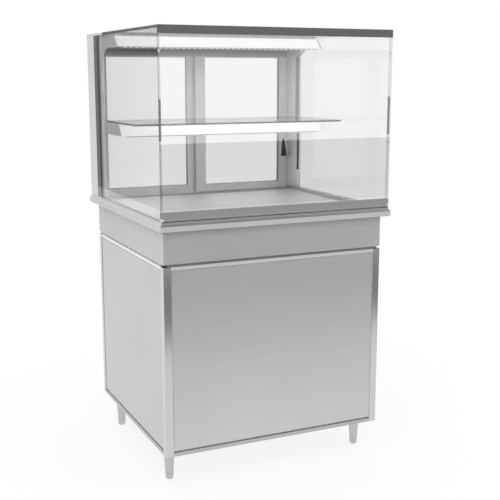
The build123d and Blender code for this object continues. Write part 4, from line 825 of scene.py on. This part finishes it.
def on_rocker(middle, across, lift, along):
    """A point on a tilted rocker's face, from its middle."""
    out = 1.8 + abs(along) * 1.7 / 10.5 + lift
    y = AXIS_Y + out * math.cos(TILT) - along * math.sin(TILT)
    z = CONTROL_Z + out * math.sin(TILT) + along * math.cos(TILT)
    return (middle + across, y, z)


for node, middle in (("power_switch", 244.0), ("light_switch", 278.0)):
    eased(node, "switch_plastic", switch_plastic, 0.5, steps=3)
    shape = bmesh.new()
    bar(shape, (-0.45, 0.45), (SUNK, PROUD), (4.4, 8.0))
    turned(shape, (0, 0, -6.2), REARWARD,
           [(1.3, SUNK), (1.3, PROUD), (2.0, PROUD), (2.0, SUNK), (1.3, SUNK)], 24)
    for vert in shape.verts:
        vert.co = on_rocker(middle, *vert.co)
    made(node + "_marks", shape, node, "switch_plastic", mark_white)

# Rear posts: natural anodised aluminium tube with a lip that the side glass is bonded
# to. A black band painted on the outside of the glass hides the bond, and a grey band on
# the inside face, over the lip, is painted shade of the lip.

post_metal = brushed("post_metal", grey(0.70), 0.36, ALONG_Z, 0.02, 0.55)
rail_metal = brushed("rail_metal", grey(0.66), 0.36, ALONG_X, 0.02, 0.55)
eased("rear_posts", "anodised_post", post_metal, 0.9)
POST_X, GLASS_X, PANE = 378.0, 393.5, 8.0
LIP_FRONT, POST_FRONT = 222.0, 296.0
CASE_LOW, PANE_TOP, CASE_TOP = 854.0, 1412.0, 1420.0
FULL_HEIGHT = (CASE_LOW + 1, PANE_TOP - 1)
band = blocks(*pair((GLASS_X - 0.5, GLASS_X - 0.1), (256.0, POST_FRONT - 0.4), FULL_HEIGHT))
black_paint = moulded("black_paint", grey(0.02), 0.25)
made("painted_band", band, "root", "black_rubber", black_paint)
lip_shade = blocks(*pair((GLASS_X - PANE - 0.3, GLASS_X - PANE - 0.05), (LIP_FRONT + 0.5, 284.0),
                    FULL_HEIGHT))
# Painted shade: grey over the lip, seen through the side glass.
grey_shade_paint = moulded("grey_shade_paint", grey(0.20), 0.4)
made("lip_shade_band", lip_shade, "root", "black_rubber", grey_shade_paint)

# Trims on the lips: a black rubber strip under the shelf, a wider grey one over it and
# a short white strip at the foot, each clipped over the lip's front edge. Their black, grey
# and white are painted reflection, copying the dark and light bands along the lip's edge.

lip_reflection_grey = rubbery("lip_reflection_grey", grey(0.17), 0.5)
lip_reflection_white = moulded("lip_reflection_white", grey(0.82), 0.4)
for name, width, low, high, slot, material in (
        ("lower_lip_trim", 15, 922.0, 1078.0, "black_rubber", rubber),
        ("upper_lip_trim", 30, 1126.0, 1346.0, "black_rubber", lip_reflection_grey),
        ("lip_foot_guard", 12, 868.0, 921.0, "white_enamel", lip_reflection_white)):
    strip = blocks(*pair((POST_X - 0.8, POST_X + 0.1), (LIP_FRONT - 0.2, LIP_FRONT + width),
                         (low, high)))
    bevelled(made(name, strip, "root", slot, material), 0.3)

# Top cover and door tracks: anodised aluminium, with screws into the posts. The sill
# has two ribs that guide the doors, and the track above has the two grooves.

eased("rear_top_cover", "anodised_post", rail_metal, 1.0)
eased("door_tracks", "anodised_post", rail_metal, 0.4)
shape = bmesh.new()
for side in (-1, 1):
    for y in (216.0, 356.0):
        turned(shape, (side * 385.5, y, CASE_TOP - 0.55), UP,
               [(x * 0.8, min(z * 0.9, 0.53), *more) for x, z, *more in COUNTERSUNK])
    turned(shape, (side * 360, 374, 843), UP, COUNTERSUNK)
made("cover_screws", shape, "root", "zinc_steel", zinc)

# Sliding doors: mitred aluminium frames round a pane in a rubber gasket. Each has a
# moulded finger pull let into its outer stile. A brush on the right door closes the gap
# between them.

door_metal = brushed("door_metal", grey(0.66), 0.5, ALONG_Z, 0.02, 0.35)
cross_brushed(door_metal, 0.8)
glazing = rubbery("glazing", grey(0.34), 0.5)
grey_plastic = moulded("grey_plastic", (0.10, 0.10, 0.105), 0.45)


def window_loop(x, y, z, width):
    """The four bars round the inside of an opening."""
    inner = (x[0] + width, x[1] - width)
    return [((x[0], x[0] + width), y, z), ((x[1] - width, x[1]), y, z),
            (inner, y, (z[0], z[0] + width)), (inner, y, (z[1] - width, z[1]))]


OPENING_Z = (870.0, 1344.0)
for side, opening, middle in (("left", (-339.5, -33.0), 345.0), ("right", (33.0, 339.5), 327.0)):
    eased(side + "_door_frame", "anodised_door", door_metal, 1.6, steps=3)
    eased(side + "_door_pull", "grey_plastic", grey_plastic, 0.9, steps=3)
    gasket = blocks(*window_loop(opening, (middle - 4.4, middle - 2.6), OPENING_Z, 1.8),
                    *window_loop(opening, (middle + 2.6, middle + 4.4), OPENING_Z, 1.8))
    bevelled(made(side + "_door_gasket", gasket, side + "_door", "black_rubber", glazing), 0.5)
BRUSH_Z, BRUSH_BACK, BRISTLE_ROWS, ROW_PITCH = (848, 1372), 335.2, 262, 2
bristles = blocks(((-4.6, 2.5), (BRUSH_BACK - 1.2, BRUSH_BACK), BRUSH_Z))
for index in range(BRISTLE_ROWS):
    z = BRUSH_Z[0] + 1 + index * ROW_PITCH
    for x in (-3.6, -2.4, -1.2, 0.0, 1.2):
        bar(bristles, (x - 0.25, x + 0.25), (BRUSH_BACK, 337.5), (z - 0.35, z + 0.35))
brush = rubbery("brush", grey(0.42), 0.8)
made("door_brush", bristles, "right_door", "black_rubber", brush)

# Black moulded wedges on the front of each door's outer stile, thicker at their foot.
# Their black is painted shade, standing in for a dark shaded patch by the posts.

black_shade_wedge = moulded("black_shade_wedge", (0.012, 0.012, 0.013), 0.35)
for side, near, far, face in (("left", -351.0, -376.0, 338.0), ("right", 351.0, 376.0, 320.0)):
    shape = bmesh.new()
    outline = [(near, 967.0), (far, 967.0), (near + (far - near) * 0.56, 1036.0),
               (near + (far - near) * 0.24, 1036.0)]
    back = [shape.verts.new((x, face, z)) for x, z in outline]
    front = [shape.verts.new((x, face - (1.6 if z < 1000 else 0.7), z)) for x, z in outline]
    shape.faces.new(back)
    shape.faces.new(list(reversed(front)))
    for index in range(4):
        after = (index + 1) % 4
        shape.faces.new((back[after], back[index], front[index], front[after]))
    pull = made(side + "_shade_wedge", shape, side + "_door", "dark_plastic", black_shade_wedge)
    bevelled(pull, 0.4)

# Canopy: the lamp and air housing under the roof, of sheet steel with a white powder
# Its end gussets run down the posts, grey as painted shade for their sideways faces,
# and its underside has the air slot.


def powder_coat(name, colour, roughness):
    """Powder coat: even in colour, with the fine orange peel of the oven."""
    return mottled(name, colour, 0.0, roughness, 8.0, 0.02, bumps=(550.0, 0.15, 0.00008))


white_enamel = powder_coat("white_enamel", grey(0.94), 0.35)
# Painted shade: a grey copy of the white coat for faces that look sideways.
grey_enamel = powder_coat("grey_enamel", grey(0.42), 0.45)
END_PLATE = 0.3785
eased("canopy_housing", "white_enamel", white_enamel, 0.8,
      part=lambda middle: abs(middle.x) < END_PLATE, name="canopy_cover")
eased("canopy_housing", "grey_enamel", grey_enamel, 0.8,
      part=lambda middle: abs(middle.x) >= END_PLATE, name="canopy_ends")

# Under the canopy: black closed-cell foam sheet, glued on behind the lamps and in front
# of the air slot. Its black is painted shade of the canopy's underside, which the door head
# and stiles below mirror.

CANOPY_LOW = 1371.0
canopy_shade_foam = rubbery("canopy_shade_foam", grey(0.035), 0.85)
FOAM_Z = (CANOPY_LOW - 1.2, CANOPY_LOW)
sheets = blocks(((-372, 372), (187, 315), FOAM_Z), ((-372, 372), (88, 101), FOAM_Z))
bevelled(made("canopy_foam", sheets, "root", "black_rubber", canopy_shade_foam), 0.4)

# Draught brush over the doors: black tufts in a strip that is fixed under the back of the
# canopy and closes the gap over the front door. Their colour runs from near black under the
# canopy to grey at their tips, painted shade of the canopy over the door head.

BRISTLE_LOW, TUFTS, TUFT_PITCH = 1346.0, 375, 2
canopy_shade_bristle = finish("canopy_shade_bristle", grey(0.1), 0.0, 0.8)
place = added(canopy_shade_bristle, "TexCoord").outputs["Object"]
height = added(canopy_shade_bristle, "SeparateXYZ", Vector=place).outputs["Z"]
# Painted shade: darker towards the canopy, lighter towards the tips.
shade_drop = added(canopy_shade_bristle, "MapRange", Value=height, From_Min=CANOPY_LOW * MM,
             From_Max=BRISTLE_LOW * MM).outputs["Result"]
shaded(canopy_shade_bristle, Base_Color=shade(canopy_shade_bristle, shade_drop, grey(0.012), grey(0.2)))
relief(canopy_shade_bristle, noise_along(canopy_shade_bristle, (2500.0, 2500.0, 40.0)), 0.4, 0.0002)
tufts = blocks(((-376, 376), (316.2, 319.2), (CANOPY_LOW - 5.0, CANOPY_LOW)))
for index in range(TUFTS):
    x = -375 + index * TUFT_PITCH
    tip = BRISTLE_LOW + 1.5 * (index * 7 % 3)
    bar(tufts, (x - 0.9, x + 0.9), (316.8, 318.8), (tip, CANOPY_LOW - 4))
made("head_brush", tufts, "root", "black_rubber", canopy_shade_bristle)

# Air slot and roof joint: a dark pressed grille let into the underside of the canopy,
# and two runs of foam tape that the roof glass lies on.

SLATS, SLAT_PITCH, RIM_Z = 90, 8, (CANOPY_LOW - 1.0, CANOPY_LOW + 2.0)
grille = blocks(((-358, 358), (103, 106), RIM_Z), ((-358, 358), (182, 185), RIM_Z))
for index in range(SLATS):
    x = -356 + index * SLAT_PITCH
    bar(grille, (x - 2.4, x + 2.4), (105, 183), (CANOPY_LOW - 0.6, CANOPY_LOW + 0.6))
bevelled(made("canopy_grille", grille, "root", "dark_plastic", dark_plastic), 0.2)
TAPE_Z = (1406.0, PANE_TOP)
tapes = blocks(((-376, 376), (97.5, 109.5), TAPE_Z), ((-376, 376), (170.0, 182.0), TAPE_Z))
roof_tape = rubbery("roof_tape", grey(0.42), 0.85)
made("roof_tape", tapes, "root", "black_rubber", roof_tape)

# Shelf: a lamp beam of the same white steel between two brackets, which are hooked on
# the posts and grey behind their fronts, painted shade for their sideways faces. The glass
# shelf lies loose on them.

BRACKET_FRONT = 0.08
eased("shelf_housing", "white_enamel", white_enamel, 0.8)
eased("shelf_brackets", "white_enamel", white_enamel, 0.8,
      part=lambda middle: middle.y < BRACKET_FRONT, name="shelf_bracket_fronts")
eased("shelf_brackets", "grey_enamel", grey_enamel, 0.8,
      part=lambda middle: middle.y >= BRACKET_FRONT, name="shelf_bracket_plates")

# Lamp strips: an aluminium channel under the front of the canopy and of the beam, with
# a row of round moulded lenses over its diodes.

strip_metal = brushed("strip_metal", grey(0.50), 0.4, ALONG_X, 0.02)
lens = mottled("lens", (0.93, 0.93, 0.91), 0.0, 0.2, 600.0, 0.03)
shaded(lens, Emission_Color=(1, 1, 1, 1), Emission_Strength=0.5)
channels = bmesh.new()
lenses = bmesh.new()
LAMP_PITCH = 20.5
for half_x, y, top in ((366.0, 67.0, 1371.0), (360.0, 43.5, 1079.0)):
    bar(channels, (-half_x, half_x), (y, y + 16), (top - 1.0, top))
    for edge in (y, y + 14.8):
        bar(channels, (-half_x, half_x), (edge, edge + 1.2), (top - 2.6, top - 1.0))
    count = int((2 * half_x - LAMP_PITCH) / LAMP_PITCH) + 1
    for index in range(count):
        x = (index - (count - 1) / 2) * LAMP_PITCH
        turned(lenses, (x, y + 8, top - 1), DOWN,
               [(0, 0), (6.6, 0), (6.6, 0.8), (5.4, 1.0), (5.0, 2.2), (3.4, 3.2), (0, 3.6)], 20)
bevelled(made("lamp_channels", channels, "root", "anodised_post", strip_metal, "led_strips"), 0.2)
made("lamp_lenses", lenses, "root", "lamp_lens", lens, "led_strips")

# Glass: clear toughened panes, ground at the edges with a small polished bevel. The
# ground edge looks dark, because the light in it comes from inside the pane.


def bare(name):
    """A new node material with nothing in it yet."""
    material = bpy.data.materials.new(name)
    material.use_nodes = True
    material.node_tree.nodes.clear()
    return material


def worked_out(owner, operation, *terms):
    """What a Math node makes of its terms, each a number or a node's output."""
    node = added(owner, "Math")
    node.operation = operation
    for socket, term in zip(node.inputs, terms):
        if isinstance(term, float):
            socket.default_value = term
        else:
            owner.node_tree.links.new(term, socket)
    return node.outputs[0]


def mixed(material, share, first, second):
    """Gives a material a mix of two shaders, with a share of the second."""
    mix = added(material, "MixShader", Fac=share)
    material.node_tree.links.new(first.outputs[0], mix.inputs[1])
    material.node_tree.links.new(second.outputs[0], mix.inputs[2])
    added(material, "OutputMaterial", Surface=mix.outputs[0])


def pane_glass(name, tint, mirror, roughness=0.0):
    """Clear sheet glass: what is behind it, tinted, under the mirror of its face."""
    material = bare(name)
    clear = added(material, "BsdfTransparent", Color=(*grey(tint), 1))
    smears = between(material, noise_along(material, 6.0), roughness, roughness + 0.012)
    gloss = added(material, "BsdfGlossy", Roughness=smears)
    facing = added(material, "LayerWeight", Blend=0.5).outputs["Facing"]
    steep = worked_out(material, "POWER", facing, 5.0)
    mixed(material, worked_out(material, "MULTIPLY_ADD", steep, 1 - mirror, mirror), clear, gloss)
    return material


ground_edge = pane_glass("ground_edge", 0.72, 0.05, 0.2)
shelf_edge = pane_glass("shelf_edge", 0.2, 0.05, 0.2)


def pane(name, node, material, boxes, thin, bevel=0.5, edge=ground_edge):
    """Panes in place of a node, with a bevelled arris and darker ground edges."""
    body = frame["nodes"][node]["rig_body"]
    piece = made(name, blocks(*boxes), body, "clear_glass", material, node)
    piece.data.materials.append(edge)
    for face in piece.data.polygons:
        face.material_index = 0 if abs(face.normal["xyz".index(thin)]) > 0.5 else 1
    bevelled(piece, bevel, 1)
    piece.modifiers["edges"].material = 1


front_clear = pane_glass("front_clear", 0.99, 0.155)
side_clear = pane_glass("side_clear", 0.99, 0.035)
door_clear = pane_glass("door_clear", 1.0, 0.02)
shelf_clear = pane_glass("shelf_clear", 0.97, 0.04)
GLASS_Y = -370.5
pane("side_panes", "side_glasses", side_clear,
     pair((GLASS_X - PANE, GLASS_X), (GLASS_Y, POST_FRONT), (CASE_LOW, PANE_TOP)), "x")
pane("roof_pane", "top_glass", side_clear,
     [((-GLASS_X, GLASS_X), (GLASS_Y, 186.0), (PANE_TOP, CASE_TOP))], "z", edge=shelf_edge)
pane("shelf_pane", "shelf_glass", shelf_clear,
     [((-377.0, 377.0), (-93.5, LIP_FRONT), (1119.0, 1125.0))], "z", 0.8, shelf_edge)
for side, x, middle in (("left", (-347.5, -25.0), 345.0), ("right", (25.0, 347.5), 327.0)):
    pane(side + "_door_pane", side + "_door_glass", door_clear,
         [(x, (middle - 2.5, middle + 2.5), (862.0, 1352.0))], "y", 0.3)

# Beads and pads: clear silicone at the foot of the side glass and down its joint with
# the posts. Small clear buffers and a length of black seal are glued to the side glass
# where the front glass closes on it.

silicone = mottled("silicone", (0.62, 0.63, 0.63), 0.0, 0.35, 60.0, 0.06,
                   bumps=(60.0, 0.3, 0.0003))
beads = blocks(
    *pair((382.6, 385.6), (-370.0, LIP_FRONT), (CASE_LOW, CASE_LOW + 2.6)),
    *pair((393.2, 393.7), (POST_FRONT - 0.9, POST_FRONT + 0.9), FULL_HEIGHT),
)
bevelled(made("silicone_beads", beads, "root", "grey_plastic", silicone), 0.6)
PAD_X, PAD_Y = (386.0, 393.2), (-372.4, -370.4)
buffers = blocks(*pair(PAD_X, PAD_Y, (1063.0, 1071.0)), *pair(PAD_X, PAD_Y, (1344.0, 1352.0)))
bevelled(made("clear_buffers", buffers, "root", "lamp_lens", silicone), 0.6)
bevelled(made("glass_seal", blocks(*pair(PAD_X, PAD_Y, (1090.0, 1211.0))),
              "root", "black_rubber", rubber), 0.6)

# Front glass: one bent-free pane between a dark grip profile along its head and a
# natural hinge profile along its foot, which turns on pins in two corner blocks.

pane("front_pane", "front_glass", front_clear,
     [((-393.5, 393.5), (-378.5, -372.5), (866.0, 1416.0))], "y", 0.5)
dark_metal = brushed("dark_metal", grey(0.15), 0.35, ALONG_X, 0.02)
foot_metal = brushed("foot_metal", grey(0.60), 0.4, ALONG_X, 0.02)
HEAD = 1.3
eased("front_glass_profiles", "dark_profile", dark_metal, 0.8,
      part=lambda middle: middle.z > HEAD, name="front_grip_profile", steps=3)
eased("front_glass_profiles", "anodised_post", foot_metal, 0.8,
      part=lambda middle: middle.z < HEAD, name="front_hinge_profile", steps=3)
caps = blocks(*pair((392.0, 393.6), (-379.9, -371.1), (1396.2, 1419.8)))
bevelled(made("grip_end_caps", caps, "front_window", "dark_plastic", dark_plastic), 0.8)
block_grey = moulded("block_grey", grey(0.50), 0.45)
eased("front_hinge_blocks", "dark_plastic", block_grey, 0.5, steps=3)

# The studio: a pale floor that runs out to a white ground, under a white sky, with grey
# cards that only the metal and the glass mirror. Soft lamps light the case, and two
# narrow ones stand in for its own strips.


def seen_directly(owner):
    """1 for a ray that shows the ground itself, in the picture, a mirror or glass."""
    path = added(owner, "LightPath")
    total = path.outputs["Is Camera Ray"]
    for name in ("Is Glossy Ray", "Is Transmission Ray"):
        total = worked_out(owner, "MAXIMUM", total, path.outputs[name])
    return total


def sheet(name, corners, material):
    """A flat sheet of the studio through four corners."""
    mesh = bpy.data.meshes.new(name)
    mesh.from_pydata(corners, [], [(0, 1, 2, 3)])
    mesh.materials.append(material)
    piece = shown(name, mesh)
    return piece


FLOOR_HALF = 30.0
ground = bare("ground")
matt = added(ground, "BsdfDiffuse", Color=(*grey(0.90), 1))
lit = added(ground, "Emission", Strength=1.0)
far = added(ground, "VectorMath", Vector=added(ground, "TexCoord").outputs["Object"])
far.operation = "LENGTH"
white = added(ground, "MapRange", Value=far.outputs["Value"], From_Min=0.5, From_Max=2.0,
              To_Min=0.84, To_Max=1.0)
white.interpolation_type = "SMOOTHSTEP"
share = worked_out(ground, "MULTIPLY", seen_directly(ground), white.outputs["Result"])
mixed(ground, share, matt, lit)
sheet("floor", [(-FLOOR_HALF, -FLOOR_HALF, 0), (FLOOR_HALF, -FLOOR_HALF, 0),
                (FLOOR_HALF, FLOOR_HALF, 0), (-FLOOR_HALF, FLOOR_HALF, 0)], ground)

world = bpy.data.worlds.new("studio")
bpy.context.scene.world = world
world.use_nodes = True
level = added(world, "MapRange", Value=seen_directly(world), To_Min=0.80, To_Max=1.0)
wired(world, world.node_tree.nodes["Background"], Color=(1, 1, 1, 1),
      Strength=level.outputs["Result"])


def card(name, corners, level):
    """A grey card that only mirrors show."""
    material = bare(name)
    glow = added(material, "Emission", Color=(*grey(level), 1))
    added(material, "OutputMaterial", Surface=glow.outputs[0])
    piece = sheet(name, corners, material)
    piece.visible_camera = False
    piece.visible_diffuse = False
    piece.visible_shadow = False
    piece.visible_transmission = False


CARD_Y, CARD_LEFT, CARD_RIGHT = -1.58, -2.0, 3.5
for name, low, high, level in (("front_card", 0.70, 0.987, 0.07),
                               ("middle_card", 0.42, 0.70, 0.60),
                               ("low_card", 0.10, 0.42, 0.20)):
    card(name, [(CARD_LEFT, CARD_Y, low), (CARD_RIGHT, CARD_Y, low),
                (CARD_RIGHT, CARD_Y, high), (CARD_LEFT, CARD_Y, high)], level)
SIDE_X, SIDE_NEAR, SIDE_FAR, OFF_FLOOR, CEILING = -2.4, 5.2, 8.0, 0.001, 3.0
card("side_card", [(SIDE_X, SIDE_NEAR, OFF_FLOOR), (SIDE_X, SIDE_FAR, OFF_FLOOR),
                   (SIDE_X, SIDE_FAR, CEILING), (SIDE_X, SIDE_NEAR, CEILING)], 0.35)
card("ceiling_card", [(-0.5, -3.0, CEILING), (3.0, -3.0, CEILING),
                      (3.0, -0.9, CEILING), (-0.5, -0.9, CEILING)], 0.2)


def lamp(name, place, power, size):
    """A soft lamp that faces down and that mirrors don't show."""
    data = bpy.data.lights.new(name, "AREA")
    data.size = size
    data.energy = power
    piece = shown(name, data)
    piece.location = place
    piece.visible_glossy = False
    return piece


MIDDLE = (0, 0, 0.8)
for name, place, aim, size, power in (
        ("key", (-2.4, -2.6, 3.2), MIDDLE, 2.4, 45), ("fill", (2.8, -2.2, 2.4), MIDDLE, 2.4, 18),
        ("top", (0, 0.3, 3.6), MIDDLE, 2.8, 30), ("low", (0.3, -3.4, 0.5), (0, 0, 1.1), 1.6, 10)):
    towards = Vector(aim) - Vector(place)
    lamp(name, place, power, size).rotation_euler = towards.to_track_quat("-Z", "Y").to_euler()
for name, y, z, power in (("canopy_light", 0.075, 1.3655, 1.3),
                          ("shelf_light", 0.0515, 1.0735, 1.4)):
    strip = lamp(name, (0, y, z), power, 0.70)
    strip.data.shape = "RECTANGLE"
    strip.data.size_y = 0.012

camera_data = bpy.data.cameras.new("camera")
camera_data.lens = 66.17
camera_data.sensor_width = 36.0
camera = shown("camera", camera_data)
camera.location = (-1.2783, -2.9015, 1.2801)
camera.rotation_euler = (math.radians(79.20), 0, math.radians(-24.91))
bpy.context.scene.camera = camera
bpy.context.scene.view_settings.view_transform = "Standard"
bpy.context.scene.cycles.transparent_max_bounces = 32
